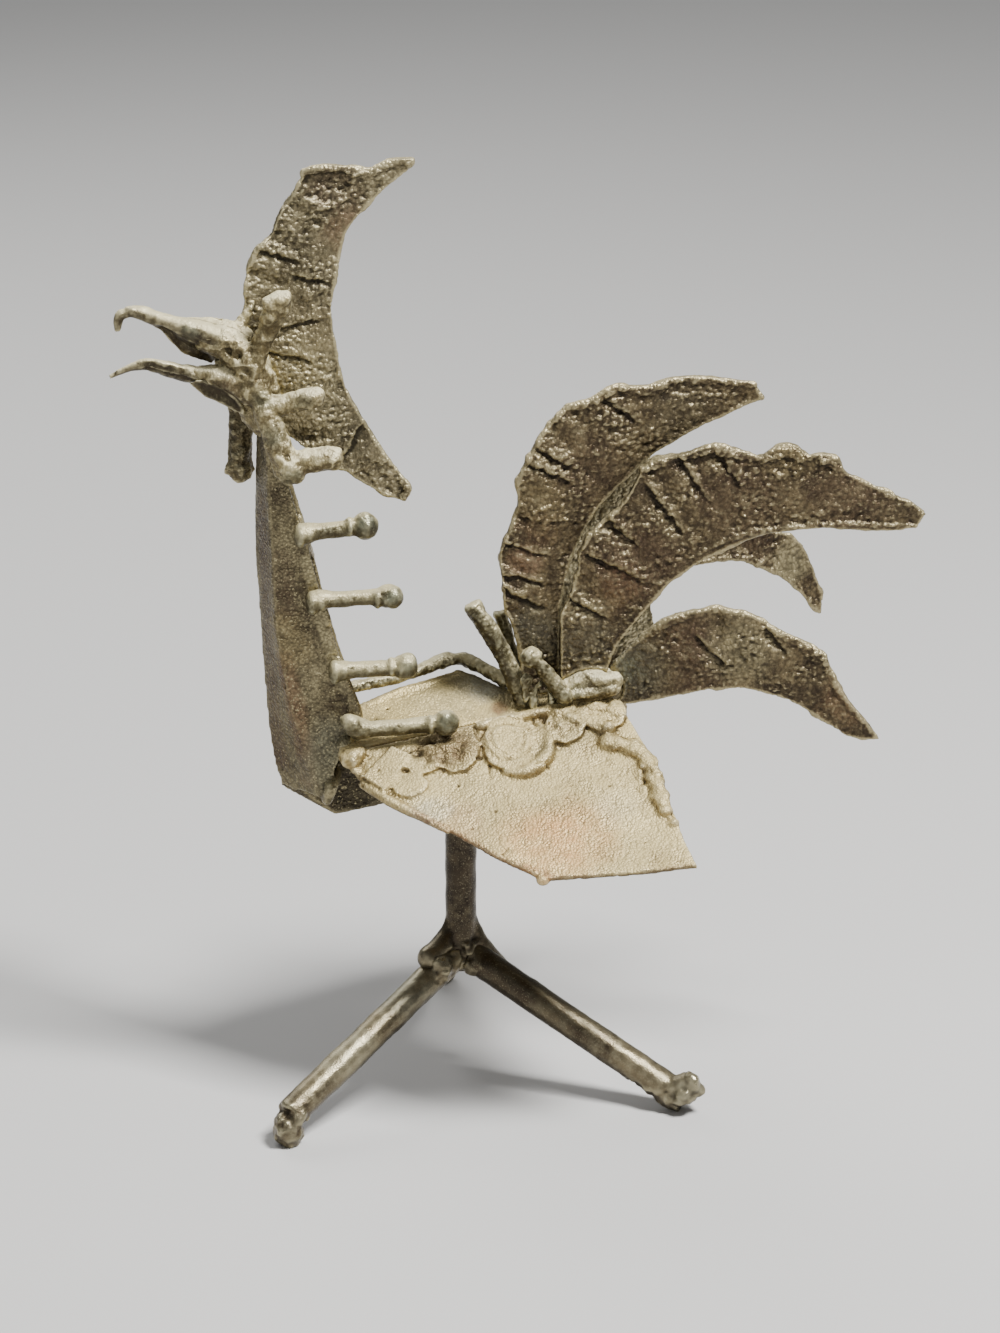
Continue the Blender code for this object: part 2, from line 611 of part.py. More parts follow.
def tail():
    """Five sickle plates fanned from the weld mass at the rear of the back plate."""
    pieces = {}
    bead = [at_tail(-8.3, 0.8, 1.8), at_tail(-4.3, -0.2, 2.9), at_tail(0.7, -0.2, 4.5),
            at_tail(5.7, 0.8, 3.3), at_tail(9.7, 1.8, 1.9)]
    pieces["tail_weld"] = lump("tail_weld", bead, [2.4, 3.4, 4.2, 3.8, 2.2], squash=1.25,
                               colour=DUSTED, roughness=0.6)
    plates = (
        ("tail_top", TOP_OUTER, TOP_INNER, TAIL_LENGTH, at_tail(-10.3, 2.8, 1.3), 0,
         (0.17, 0.27, 0.36, 0.55, 0.6), 26, 1.0),
        ("tail_left_upper", MIDDLE_OUTER, MIDDLE_INNER, TAIL_LENGTH, at_tail(-0.3, -0.7, 1.3), 6,
         (0.22, 0.34, 0.47, 0.54), 26, 1.0),
        ("tail_left_lower", LOWER_OUTER, LOWER_INNER, LOWER_TAIL_LENGTH, at_tail(5.7, 1.3, 1.3), 12,
         (0.42,), 26, 1.0),
        ("tail_right_lower", FAR_OUTER, FAR_INNER, LOWER_TAIL_LENGTH, at_tail(1.7, 8.3, 2.3), -16,
         (0.6,), 20, -1.0),
        ("tail_right_upper", SHORT_OUTER, SHORT_INNER, TAIL_LENGTH, at_tail(-5.3, 8.3, 1.3), -9,
         (0.4, 0.6), 20, -1.0),
    )
    for name, outer, inner, size, place, flare, creases, rows, side in plates:
        pieces[name] = crescent(name, outer, inner, size, place, flare, creases, rows, side)
    return pieces


# The bent rod along the back, from its cut end near the neck to the foot of the tail
BACK_ROD = ((-28.6, 4, 6.2), (-19, 8, 6.2), (-10.2, 12, 6.7), (-5, 14, 8), (0.2, 15, 8.8), (6, 11, 7),
            (12.4, 6.4, 4.6), (16, 4, 2.6))

# Offcuts of rod at the foot of the tail, from the root of the tail
TAIL_STUB = ((-15.5, 1.9, -1.2), (-18.9, 3.3, 9.4), (-23.6, 4.3, 17.8), (-28.3, 5.3, 25.7))
TAIL_STUB_FAR = ((-14.8, 8.9, -0.7), (-17.9, 9.5, 11.6), (-20.6, 9.9, 21.7))
TAIL_PIN = ((-4.9, -2.1, 1.9), (-9.8, -2.3, 6.9), (-13.1, -2.3, 12.3), (-16.1, -2.3, 14.9))
TAIL_LOOP = ((-13.7, -1.3, -0.7), (-13.4, -1.5, 4.3), (-11.4, -1.7, 6.5), (-9.3, -1.5, 3.8),
             (-9.3, -1.3, -0.7))


def back_scraps():
    """The bent rod along the back, and offcuts of rod at the foot of the tail."""
    pieces = {"back_rod": rod("back_rod", [at(*p) for p in BACK_ROD], TRIM_ROD)}
    offcuts = (("tail_stub", TAIL_STUB, STUD - 0.4, None), ("tail_stub_far", TAIL_STUB_FAR, PIN - 0.5, None),
               ("tail_pin", TAIL_PIN, PIN - 0.4, BALL - 1.6), ("tail_loop", TAIL_LOOP, LOOP_WIRE, None))
    for name, path, shaft, ball in offcuts:
        pieces[name] = rod(name, [at_tail(*p) for p in path], shaft, ball)
    return pieces


def settle_on_floor():
    """Move the whole part so that the middle of its underside is the origin."""
    bpy.context.view_layer.update()
    corners = [obj.matrix_world @ vert.co for obj in root.children for vert in obj.data.vertices]
    low = [min(c[i] for c in corners) for i in range(3)]
    high = [max(c[i] for c in corners) for i in range(3)]
    root.location = (-(low[0] + high[0]) / 2, -(low[1] + high[1]) / 2, -low[2])


def main():
    global root
    clear_scene()
    root = bpy.data.objects.new("rooster", None)
    bpy.context.scene.collection.objects.link(root)
    post, legs = stand()
    sheet = neck()
    back, left, right = body()
    cope(back, sheet)
    cope(left, sheet, back)
    cope(right, sheet, back, left)
    cope(post, back, left, right)
    for spike in neck_spikes():
        cope(spike, sheet, left)
    top = head()
    cope(top["head"], sheet)
    cope(top["comb"], top["head"], sheet)
    cope(top["upper_beak"], top["head"])
    cope(top["lower_beak"], top["head"], top["upper_beak"])
    cope(top["throat_leaf"], top["head"], top["lower_beak"], sheet)
    cope(top["eye_stud_left"], top["head"], top["comb"])
    cope(top["eye_stud_right"], top["head"], top["comb"])
    cope(top["wattle_left"], top["head"], sheet, top["throat_leaf"])
    cope(top["ear_spike"], top["head"], top["comb"], top["wattle_left"], sheet)
    cope(top["cheek_spike"], top["wattle_left"], sheet, top["comb"])
    cope(top["wattle_right"], top["head"], sheet, top["comb"])
    plumes = tail()
    plates = (back, left, right)
    cope(plumes["tail_weld"], *plates)
    cope(plumes["tail_left_upper"], plumes["tail_weld"], *plates)
    cope(plumes["tail_top"], plumes["tail_weld"], *plates, plumes["tail_left_upper"])
    cope(plumes["tail_left_lower"], plumes["tail_weld"], *plates, plumes["tail_left_upper"])
    cope(plumes["tail_right_upper"], plumes["tail_weld"], *plates, plumes["tail_top"])
    cope(plumes["tail_right_lower"], plumes["tail_weld"], *plates, plumes["tail_left_lower"],
         plumes["tail_right_upper"])
    scraps = back_scraps()
    cope(scraps["tail_stub"], *plates, plumes["tail_top"])
    cope(scraps["tail_stub_far"], *plates, scraps["tail_stub"], plumes["tail_right_upper"])
    cope(scraps["back_rod"], sheet, *plates, scraps["tail_stub"], scraps["tail_stub_far"])
    cope(scraps["tail_pin"], plumes["tail_weld"], *plates, plumes["tail_left_upper"])
    cope(scraps["tail_loop"], *plates, scraps["tail_stub"], plumes["tail_top"], scraps["tail_pin"])
    settle_on_floor()


main()
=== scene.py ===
"""The looks of a small rooster welded together from scrap steel.

Every solid of the frame is replaced by a dense mesh around it, with hammered and flame-cut relief,
weld metal over the joints and a heat patina. Lengths are millimetres unless a name says otherwise.
"""
import itertools
import math

import bmesh
import bpy
import numpy as np
from mathutils import Matrix, Vector
from mathutils.bvhtree import BVHTree


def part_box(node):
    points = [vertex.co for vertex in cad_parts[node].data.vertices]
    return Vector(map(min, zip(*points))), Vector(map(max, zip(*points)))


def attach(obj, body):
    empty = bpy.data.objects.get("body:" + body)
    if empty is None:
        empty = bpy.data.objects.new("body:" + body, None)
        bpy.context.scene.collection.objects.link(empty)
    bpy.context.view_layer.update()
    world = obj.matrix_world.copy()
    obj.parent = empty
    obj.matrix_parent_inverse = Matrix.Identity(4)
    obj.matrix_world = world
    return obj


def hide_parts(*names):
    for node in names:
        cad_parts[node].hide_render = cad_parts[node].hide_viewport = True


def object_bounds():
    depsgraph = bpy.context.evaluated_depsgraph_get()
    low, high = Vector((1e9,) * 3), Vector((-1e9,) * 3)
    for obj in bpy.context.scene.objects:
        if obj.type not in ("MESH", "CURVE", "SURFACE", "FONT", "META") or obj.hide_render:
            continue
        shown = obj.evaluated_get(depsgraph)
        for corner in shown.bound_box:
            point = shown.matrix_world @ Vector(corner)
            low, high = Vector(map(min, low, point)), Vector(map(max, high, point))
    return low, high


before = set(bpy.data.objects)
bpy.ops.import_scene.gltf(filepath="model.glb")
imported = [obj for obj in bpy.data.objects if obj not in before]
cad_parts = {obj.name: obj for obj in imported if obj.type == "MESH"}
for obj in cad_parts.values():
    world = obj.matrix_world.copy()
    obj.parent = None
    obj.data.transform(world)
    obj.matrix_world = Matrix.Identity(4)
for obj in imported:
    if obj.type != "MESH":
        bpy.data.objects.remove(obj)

MM = 0.001
CAD_LOW, CAD_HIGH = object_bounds()

# The photograph's view of the rooster
VIEW_AZIMUTH = math.radians(-9.0)
VIEW_ELEVATION = math.radians(19.7)
VIEW_DISTANCE = 1110.8
LENS = 120.0
SENSOR = 36.0
IMAGE_WIDTH, IMAGE_HEIGHT = 1000, 1333
POST_OFFSET = 1.2        # the body's middle lies this far behind the post's axis
AIM = Vector((8.86, 0.0, 111.1))    # the middle of the picture, from the body's middle

post_low, post_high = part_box("post")
MIDDLE = Vector(((post_low.x + post_high.x) / 2 / MM + POST_OFFSET,
                 (post_low.y + post_high.y) / 2 / MM, 0))
BACK = Vector((math.sin(VIEW_AZIMUTH) * math.cos(VIEW_ELEVATION),
               -math.cos(VIEW_AZIMUTH) * math.cos(VIEW_ELEVATION), math.sin(VIEW_ELEVATION)))
EYE = MIDDLE + AIM + BACK * VIEW_DISTANCE
ACROSS = Vector((math.cos(VIEW_AZIMUTH), math.sin(VIEW_AZIMUTH), 0))
UP = BACK.cross(ACROSS)
PIXELS = LENS / SENSOR * IMAGE_HEIGHT


def sight(pixel):
    """Direction from the eye through a pixel of the photograph."""
    x, y = pixel
    return (-BACK + ACROSS * ((x - IMAGE_WIDTH / 2) / PIXELS)
            - UP * ((y - IMAGE_HEIGHT / 2) / PIXELS)).normalized()


def seen(pixel, depth):
    """The point behind a pixel, on the upright plane at that depth from the body's middle."""
    ray = sight(pixel)
    return EYE + ray * ((MIDDLE.y + depth - EYE.y) / ray.y)


surfaces = {}            # the CAD nodes' surfaces that have been asked for


def surface(node):
    """A CAD node's surface, for finding points on it."""
    if node not in surfaces:
        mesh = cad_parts[node].data
        surfaces[node] = BVHTree.FromPolygons([v.co / MM for v in mesh.vertices],
                                              [p.vertices[:] for p in mesh.polygons])
    return surfaces[node]


def on(node, pixel, lift=0.0):
    """The point of a CAD node's surface behind a pixel or nearest to it, raised along the normal."""
    tree = surface(node)
    ray = sight(pixel)
    place, normal, _, _ = tree.ray_cast(EYE, ray)
    if place is None:
        reach = (tree.find_nearest(EYE)[0] - EYE).length
        place, normal, _, _ = tree.find_nearest(EYE + ray * reach)
    if normal.dot(ray) > 0:
        normal = -normal
    return place + normal * lift


def route(node, place, lift=0.0):
    """The points of a CAD node's surface behind one pixel or a row of them."""
    pixels = place if isinstance(place[0], tuple) else (place,)
    return [on(node, pixel, lift) for pixel in pixels]


def hung(run):
    """The points behind pixels that each have their own depth."""
    return [seen(pixel, depth) for pixel, depth in run]


def mirrored(vector):
    """A direction or an offset as the far side has it."""
    return Vector((vector.x, -vector.y, vector.z))


def opposite(node, place):
    """The point of a CAD node nearest to the mirror image of a point of the near side."""
    return surface(node).find_nearest(MIDDLE + mirrored(place - MIDDLE))[0]


# Large odd factors that scatter the cells of the noise
CELL_FACTORS = (73856093, 19349663, 83492791)
SEED_FACTOR = 668265263
MIXING_FACTOR = 1274126177
SIXTEEN_BITS = 0xFFFF


def hashed(cells, seed):
    """A steady value from 0 to 1 for each whole-numbered cell."""
    x, y, z = (cells * np.array(CELL_FACTORS)).T
    mixed = x ^ y ^ z ^ (seed * SEED_FACTOR)
    mixed = (mixed ^ (mixed >> 13)) * MIXING_FACTOR
    return ((mixed ^ (mixed >> 16)) & SIXTEEN_BITS) / SIXTEEN_BITS


def noise(points, size, seed):
    """Smooth noise from -1 to 1 that turns over a given size."""
    p = points / size + seed * 7.31
    base = np.floor(p).astype(np.int64)
    f = p - base
    f = f * f * (3 - 2 * f)
    total = np.zeros(len(p))
    for corner in itertools.product((0, 1), repeat=3):
        weight = np.prod(np.where(corner, f, 1 - f), axis=1)
        total += weight * hashed(base + np.array(corner), seed)
    return total * 2 - 1


def turbulence(points, size, seed, octaves=3):
    """Noise with finer noise on it, from about -1 to 1."""
    total, weight = 0.0, 0.0
    for k in range(octaves):
        total = total + noise(points, size / 2 ** k, seed + k) / 2 ** k
        weight += 1 / 2 ** k
    return total / weight


def grains(points, size, seed):
    """How near a point is to the middle of the nearest of scattered grains, from 0 to 1."""
    p = points / size
    base = np.floor(p).astype(np.int64)
    nearest = np.full(len(p), 4.0)
    for offset in itertools.product((-1, 0, 1), repeat=3):
        cell = base + np.array(offset)
        centre = cell + np.stack([hashed(cell, seed + k) for k in range(3)], axis=1)
        nearest = np.minimum(nearest, ((p - centre) ** 2).sum(axis=1))
    return np.clip(1 - np.sqrt(nearest), 0, 1)


def ramp(value, low, high):
    """0 below low, 1 above high and smooth between them."""
    t = np.clip((value - low) / (high - low), 0, 1)
    return t * t * (3 - 2 * t)


FLAP_SUNK = 0.6          # a flap starts this far under the surface that it lies on
FLAP_CORNERS = 28        # around a round flap


class Clay:
    """Shapes that are melted into one another and into the CAD nodes that they are given."""

    def __init__(self, *nodes):
        self.bm = bmesh.new()
        for node in nodes:
            self.bm.from_mesh(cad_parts[node].data)
        for vert in self.bm.verts:
            vert.co /= MM

    def ball(self, centre, radii, turn=None, fineness=2):
        """A round or oval lump, with one radius or three."""
        radii = radii if hasattr(radii, "__len__") else (radii,) * 3
        matrix = Matrix.Translation(centre)
        if turn is not None:
            matrix = matrix @ turn.to_4x4()
        matrix = matrix @ Matrix.Diagonal((*radii, 1.0))
        bmesh.ops.create_icosphere(self.bm, subdivisions=fineness, radius=1.0, matrix=matrix)

    def trail(self, points, radii, spacing=0.4):
        """A run of balls along a smooth line, their radius following the given values."""
        line = curve_through(points)
        total = lengths_along(line)
        count = max(int(total[-1] / (min(radii) * spacing)), 2)
        for k in range(count + 1):
            share = k / count
            i = min(int(share * (len(radii) - 1)), len(radii) - 2)
            t = share * (len(radii) - 1) - i
            self.ball(point_at(line, total, share * total[-1]), radii[i] * (1 - t) + radii[i + 1] * t)

    def slab(self, corners, normal, thickness):
        """A thin flap with crisp edges that lies on a surface."""
        low = [self.bm.verts.new(corner - normal * FLAP_SUNK) for corner in corners]
        high = [self.bm.verts.new(corner + normal * thickness) for corner in corners]
        self.bm.faces.new(low[::-1])
        self.bm.faces.new(high)
        for k in range(len(corners)):
            j = (k + 1) % len(corners)
            self.bm.faces.new((low[k], low[j], high[j], high[k]))

    def drum(self, centre, normal, across, up, radii, thickness):
        """A flat round flap, its rim at the ends of the two given radii."""
        rim = []
        for k in range(FLAP_CORNERS):
            turn = k / FLAP_CORNERS * math.tau
            swell = 1 + 0.04 * math.sin(3 * turn + 1) + 0.03 * math.sin(7 * turn)
            rim.append(centre + (across * math.cos(turn) * radii[0] + up * math.sin(turn) * radii[1]) * swell)
        self.slab(rim, normal, thickness)

    def disc(self, centre, normal, radius, thickness, stretch=1.0):
        """A flat round drop of weld metal that lies on a surface."""
        turn = normal.to_track_quat("Z", "Y").to_matrix()
        self.ball(centre, (radius * stretch, radius, thickness), turn, 3)


def dimes(clay, points, normal, radius, thickness, spacing):
    """A weld bead like a row of overlapping coins."""
    line = curve_through(points)
    total = lengths_along(line)
    count = int(total[-1] / spacing)
    for k in range(count + 1):
        place = point_at(line, total, k * spacing)
        ahead = point_at(line, total, min(k * spacing + 0.3, total[-1])) - place
        lean = (normal - ahead.normalized() * 0.35 if ahead.length > 0 else normal).normalized()
        clay.disc(place, lean, radius * (1 + 0.15 * math.sin(2.4 * k)), thickness)


def curve_through(points, steps=8):
    """A smooth Catmull-Rom line through given points."""
    pts = [Vector(p) for p in points]
    line = []
    for i in range(len(pts) - 1):
        a = pts[max(i - 1, 0)]
        b, c = pts[i], pts[i + 1]
        d = pts[min(i + 2, len(pts) - 1)]
        for k in range(steps):
            t = k / steps
            line.append(0.5 * (2 * b + (c - a) * t + (2 * a - 5 * b + 4 * c - d) * t * t
                               + (3 * b - a - 3 * c + d) * t ** 3))
    line.append(pts[-1])
    return line


def lengths_along(line):
    """The length of a line up to each of its points."""
    total = [0.0]
    for a, b in zip(line, line[1:]):
        total.append(total[-1] + (b - a).length)
    return total


def point_at(line, total, distance):
    """The point that lies a given distance along a line."""
    last = len(line) - 2
    i = next((k for k in range(last) if distance <= total[k + 1]), last)
    step = (distance - total[i]) / max(total[i + 1] - total[i], 1e-9)
    return line[i].lerp(line[i + 1], step)


def evened(name, clay, voxel):
    """An object with even faces, melted together from the shapes in the clay."""
    joined = bpy.data.meshes.new(name)
    for vert in clay.bm.verts:
        vert.co *= MM
    clay.bm.to_mesh(joined)
    clay.bm.free()
    melted = bpy.data.objects.new(name, joined)
    bpy.context.scene.collection.objects.link(melted)
    even = melted.modifiers.new("even", "REMESH")
    even.mode = "VOXEL"
    even.voxel_size = voxel * MM
    depsgraph = bpy.context.evaluated_depsgraph_get()
    mesh = bpy.data.meshes.new_from_object(melted.evaluated_get(depsgraph))
    melted.modifiers.clear()
    melted.data = mesh
    mesh.name = name
    mesh.polygons.foreach_set("use_smooth", [True] * len(mesh.polygons))
    return melted


class Piece:
    """A dense, even mesh that is smoothed, pushed about and coloured before it joins the scene."""

    def __init__(self, name, clay, voxel, smooth):
        self.object = evened(name, clay, voxel)
        self.mesh = mesh = self.object.data
        self.voxel = voxel
        count = len(mesh.vertices)
        flat = np.empty(count * 3)
        mesh.vertices.foreach_get("co", flat)
        self.points = flat.reshape(-1, 3) / MM
        links = np.empty(len(mesh.edges) * 2, dtype=np.int64)
        mesh.edges.foreach_get("vertices", links)
        self.links = links.reshape(-1, 2)
        self.degree = np.maximum(np.bincount(self.links.ravel(), minlength=count), 1)
        self.tint = np.zeros((count, 4))
        self.points = self.spread(self.points, smooth, 0.5)

    def spread(self, values, times, amount=0.6):
        """Mix each vertex's values with its neighbours' a number of times."""
        one = values.ndim == 1
        values = values.reshape(len(values), -1).copy()
        a, b = self.links.T
        for _ in range(times):
            for axis in range(values.shape[1]):
                column = values[:, axis]
                total = np.bincount(a, column[b], len(column)) + np.bincount(b, column[a], len(column))
                values[:, axis] = column + amount * (total / self.degree - column)
        return values[:, 0] if one else values

    def store(self):
        """Write the places of the points into the mesh."""
        self.mesh.vertices.foreach_set("co", (self.points * MM).ravel())
        self.mesh.update()

    def normals(self):
        """The normal of each vertex where it is now."""
        self.store()
        flat = np.empty(len(self.points) * 3)
        self.mesh.vertex_normals.foreach_get("vector", flat)
        return flat.reshape(-1, 3)

    def push(self, distance):
        """Move each vertex along its normal by its own distance."""
        self.points = self.points + self.normals() * np.asarray(distance)[:, None]

    def distance(self, line):
        """Each vertex's distance from a line through the given points."""
        near = np.full(len(self.points), 1e9)
        ends = [np.array(p) for p in line]
        for a, b in zip(ends, ends[1:] or ends):
            along = b - a
            share = np.clip((self.points - a) @ along / max(along @ along, 1e-9), 0, 1)
            near = np.minimum(near, np.linalg.norm(self.points - a - share[:, None] * along, axis=1))
        return near

    def dent(self, line, radius, depth):
        """Sink a hollow around a line, or raise a ridge with a depth below zero."""
        ragged = self.distance(line) * (1 + 0.2 * noise(self.points, radius, 77))
        self.push(-depth * np.exp(-(ragged / radius) ** 2))

    def paint_stain_or_light(self, line, radius, colour, strength, seed):
        """Tint the metal around a line or a point, with a ragged outline; used for stains, painted shade and
        painted light alike.
        """
        ragged = self.distance(line) * (1 + 0.35 * turbulence(self.points, radius * 0.5, seed))
        share = (1 - ramp(ragged, radius * 0.35, radius)) * strength
        old = self.tint[:, 3]
        total = share + old * (1 - share)
        mixed = self.tint[:, :3] * (old * (1 - share))[:, None] + np.array(colour) * share[:, None]
        self.tint[:, :3] = mixed / np.maximum(total, 1e-6)[:, None]
        self.tint[:, 3] = total

    def finish(self, material, slot, *nodes, wear_size=1.1):
        """Keep the piece inside the CAD model's box, give it its looks and put it in the scene."""
        self.points = np.clip(self.points, np.array(CAD_LOW) / MM, np.array(CAD_HIGH) / MM)
        normals = self.normals()
        rounds = max(int((wear_size / self.voxel) ** 2), 2)
        hollow = ((self.points - self.spread(self.points, rounds)) * normals).sum(axis=1)
        wear = np.clip(hollow / (0.24 * wear_size), -1, 1)
        layer = self.mesh.attributes.new("wear", "FLOAT", "POINT")
        layer.data.foreach_set("value", wear)
        layer = self.mesh.attributes.new("tint", "FLOAT_COLOR", "POINT")
        layer.data.foreach_set("color", self.tint.ravel())
        self.mesh.materials.clear()
        self.mesh.materials.append(material)
        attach(self.object, "root")
        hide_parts(*nodes)


class Graph:
    """Short calls that add and link the nodes of one material, each giving its node's output."""

    def __init__(self, name):
        self.material = bpy.data.materials.new(name)
        self.material.use_nodes = True
        self.tree = self.material.node_tree
        self.shader = self.tree.nodes["Principled BSDF"]
        place = self.tree.nodes.new("ShaderNodeTexCoord")
        self.place = place.outputs["Object"]

    def plug(self, socket, value):
        """Link an output to an input, or set the input to a colour or a number."""
        if isinstance(value, bpy.types.NodeSocket):
            self.tree.links.new(value, socket)
        elif isinstance(value, tuple) and len(value) == 3 and socket.type == "RGBA":
            socket.default_value = (*value, 1.0)
        else:
            socket.default_value = value

    def noise(self, size, detail=3.0, rough=0.6, stretch=None, twist=0.0):
        """Noise whose features are about the given number of millimetres across."""
        node = self.tree.nodes.new("ShaderNodeTexNoise")
        node.inputs["Scale"].default_value = 1.0 / (size * MM)
        node.inputs["Detail"].default_value = detail
        node.inputs["Roughness"].default_value = rough
        node.inputs["Distortion"].default_value = twist
        place = self.place
        if stretch is not None:
            mapping = self.tree.nodes.new("ShaderNodeMapping")
            mapping.inputs["Scale"].default_value = stretch
            self.plug(mapping.inputs["Vector"], place)
            place = mapping.outputs["Vector"]
        self.plug(node.inputs["Vector"], place)
        return node.outputs["Fac"]

    def sand(self, size):
        """Rounded grains about the given number of millimetres across, 0 at their middle."""
        node = self.tree.nodes.new("ShaderNodeTexVoronoi")
        node.inputs["Scale"].default_value = 1.0 / (size * MM)
        self.plug(node.inputs["Vector"], self.place)
        return node.outputs["Distance"]

    def math(self, how, a, b=0.0, clamp=False):
        node = self.tree.nodes.new("ShaderNodeMath")
        node.operation = how
        node.use_clamp = clamp
        self.plug(node.inputs[0], a)
        self.plug(node.inputs[1], b)
        return node.outputs[0]

    def times(self, a, b):
        return self.math("MULTIPLY", a, b)

    def span(self, value, low, high, out_low=0.0, out_high=1.0):
        """Turn the range from low to high smoothly into another range."""
        node = self.tree.nodes.new("ShaderNodeMapRange")
        node.interpolation_type = "SMOOTHSTEP"
        for socket, number in zip(node.inputs[1:5], (low, high, out_low, out_high)):
            socket.default_value = number
        self.plug(node.inputs[0], value)
        return node.outputs[0]

    def mix(self, share, a, b, how="MIX"):
        node = self.tree.nodes.new("ShaderNodeMix")
        node.data_type = "RGBA"
        node.blend_type = how
        self.plug(node.inputs["Factor"], share)
        self.plug(node.inputs[6], a)
        self.plug(node.inputs[7], b)
        return node.outputs[2]

    def attribute(self, name):
        node = self.tree.nodes.new("ShaderNodeAttribute")
        node.attribute_name = name
        return node

    def facing_up(self):
        """1 where the surface faces up, -1 where it faces down."""
        node = self.tree.nodes.new("ShaderNodeNewGeometry")
        split = self.tree.nodes.new("ShaderNodeSeparateXYZ")
        self.plug(split.inputs[0], node.outputs["Normal"])
        return split.outputs["Z"]

    def bump(self, height, strength, depth):
        node = self.tree.nodes.new("ShaderNodeBump")
        node.inputs["Strength"].default_value = strength
        node.inputs["Distance"].default_value = depth * MM
        self.plug(node.inputs["Height"], height)
        return node.outputs["Normal"]


def srgb(red, green, blue):
    """A colour as a screen shows it, from 0 to 255, turned into linear light."""
    return tuple(((c / 255 + 0.055) / 1.055) ** 2.4 if c > 10 else c / 255 / 12.92
                 for c in (red, green, blue))


METALLIC = 0.75          # of clean metal


def blotches(g, large, middle, dark, mid, light, brushed):
    """Heat patina in large and small patches, with streaks where the steel is brushed."""
    base = g.mix(g.span(large, 0.34, 0.64), dark, mid)
    base = g.mix(g.times(g.span(middle, 0.4, 0.72), 0.45), base, light)
    if brushed:
        streaks = g.noise(0.9, 3, 0.6, stretch=brushed)
        base = g.mix(g.span(streaks, 0.45, 0.7, 0.0, 0.45), base, dark)
    return base


def darkened(g, base, dark, sand, gritty, shade, wear):
    """Darker between the grains, painted shade on what faces down, and dark hollows."""
    base = g.mix(g.span(sand, 0.3, 0.75, 0.0, gritty), base, tuple(c * 0.4 for c in dark))
    # Painted shade on what faces down
    base = g.mix(g.span(g.facing_up(), *shade, 0.0, 0.75), base, tuple(c * 0.5 for c in dark))
    return g.mix(g.times(g.span(wear, 0.1, -0.9), 0.8), base, tuple(c * 0.3 for c in dark))


def settled(g, large, wear, bare, dustiness):
    """How much dust lies on what faces up, out of the hollows."""
    up = g.math("ADD", g.facing_up(), g.span(large, 0.3, 0.7, -0.3, 0.3))
    dusted = g.times(g.span(up, 0.1, 0.95), dustiness)
    return g.times(g.times(dusted, g.span(wear, -0.7, 0.1)), bare)


def patina(name, dark, mid, light, dust, dustiness, grain, bump, rough=(0.36, 0.6), blotch=11.0,
           glint=0.35, rim=None, brushed=None, gritty=0.0, shade=(0.05, -0.75), edges=0.75):
    """Weathered steel: blotches of heat patina, dark hollows, worn edges, dust on what faces up, painted
    shade on what faces down and painted glints of the light colour.
    """
    g = Graph(name)
    large = g.noise(blotch, 4, 0.6, twist=0.4)
    middle = g.noise(blotch * 0.22, 5, 0.65)
    fine = g.noise(grain, 2, 0.5)
    sand = g.sand(grain * 1.3)
    wear = g.attribute("wear").outputs["Fac"]
    tint = g.attribute("tint")
    # The share of the tint, which holds stains, painted shade and painted light
    stain_or_light_share = g.times(tint.outputs["Alpha"], g.span(middle, 0.25, 0.7, 0.55, 1.0))
    bare = g.math("SUBTRACT", 1.0, g.times(stain_or_light_share, 0.8))
    dusted = settled(g, large, wear, bare, dustiness)
    raised = g.times(g.span(wear, 0.1, 0.9), g.times(bare, edges))
    base = blotches(g, large, middle, dark, mid, light, brushed)
    base = g.mix(stain_or_light_share, base, tint.outputs["Color"])
    # Painted glints: specks of the light colour where the fine noise runs high
    base = g.mix(g.times(g.span(fine, 0.56, 0.74), glint), base, light)
    base = darkened(g, base, dark, sand, gritty, shade, wear)
    base = g.mix(dusted, base, dust)
    shine = g.span(middle, 0.3, 0.7, rough[0], rough[1])
    shine = g.math("ADD", shine, g.times(dusted, 0.22), clamp=True)
    relief = g.math("ADD", g.times(fine, 0.8), g.times(middle, 0.6))
    relief = g.math("SUBTRACT", relief, g.times(sand, 0.5 + gritty))
    g.plug(g.shader.inputs["Base Color"], g.mix(raised, base, rim or light))
    g.plug(g.shader.inputs["Metallic"], g.times(g.math("SUBTRACT", 1.0, g.times(dusted, 0.75)), METALLIC))
    g.plug(g.shader.inputs["Roughness"], g.math("SUBTRACT", shine, g.times(raised, 0.1), clamp=True))
    g.plug(g.shader.inputs["Normal"], g.bump(relief, 0.7, bump))
    return g.material


# Colours of the metal, its heat tints and its rust, and dark browns for painted shade
CREAM = srgb(206, 194, 150)
RUST = srgb(122, 76, 54)
ROSE = srgb(206, 150, 96)
PINK = srgb(158, 118, 96)
PLUM = srgb(80, 58, 48)
VERDIGRIS = srgb(140, 146, 124)
SLATE = srgb(98, 98, 82)
GOLD = srgb(150, 134, 94)
OLIVE = srgb(90, 78, 48)
# Used mostly as painted shade: in gaps, pits and hollows, under lips and creases and on sides turned from the
# light
SHADE_AND_SOOT = srgb(30, 25, 18)
IVORY = srgb(232, 220, 178)
FROST = srgb(180, 182, 170)
UMBER = srgb(37, 28, 20)
# Dark brown, partly oxide and partly painted shadow under the lowest neck spike
OXIDE_AND_SHADOW = srgb(66, 43, 24)
HONEY = srgb(228, 204, 138)
SAGE = srgb(116, 118, 100)
SILVER = srgb(178, 174, 148)

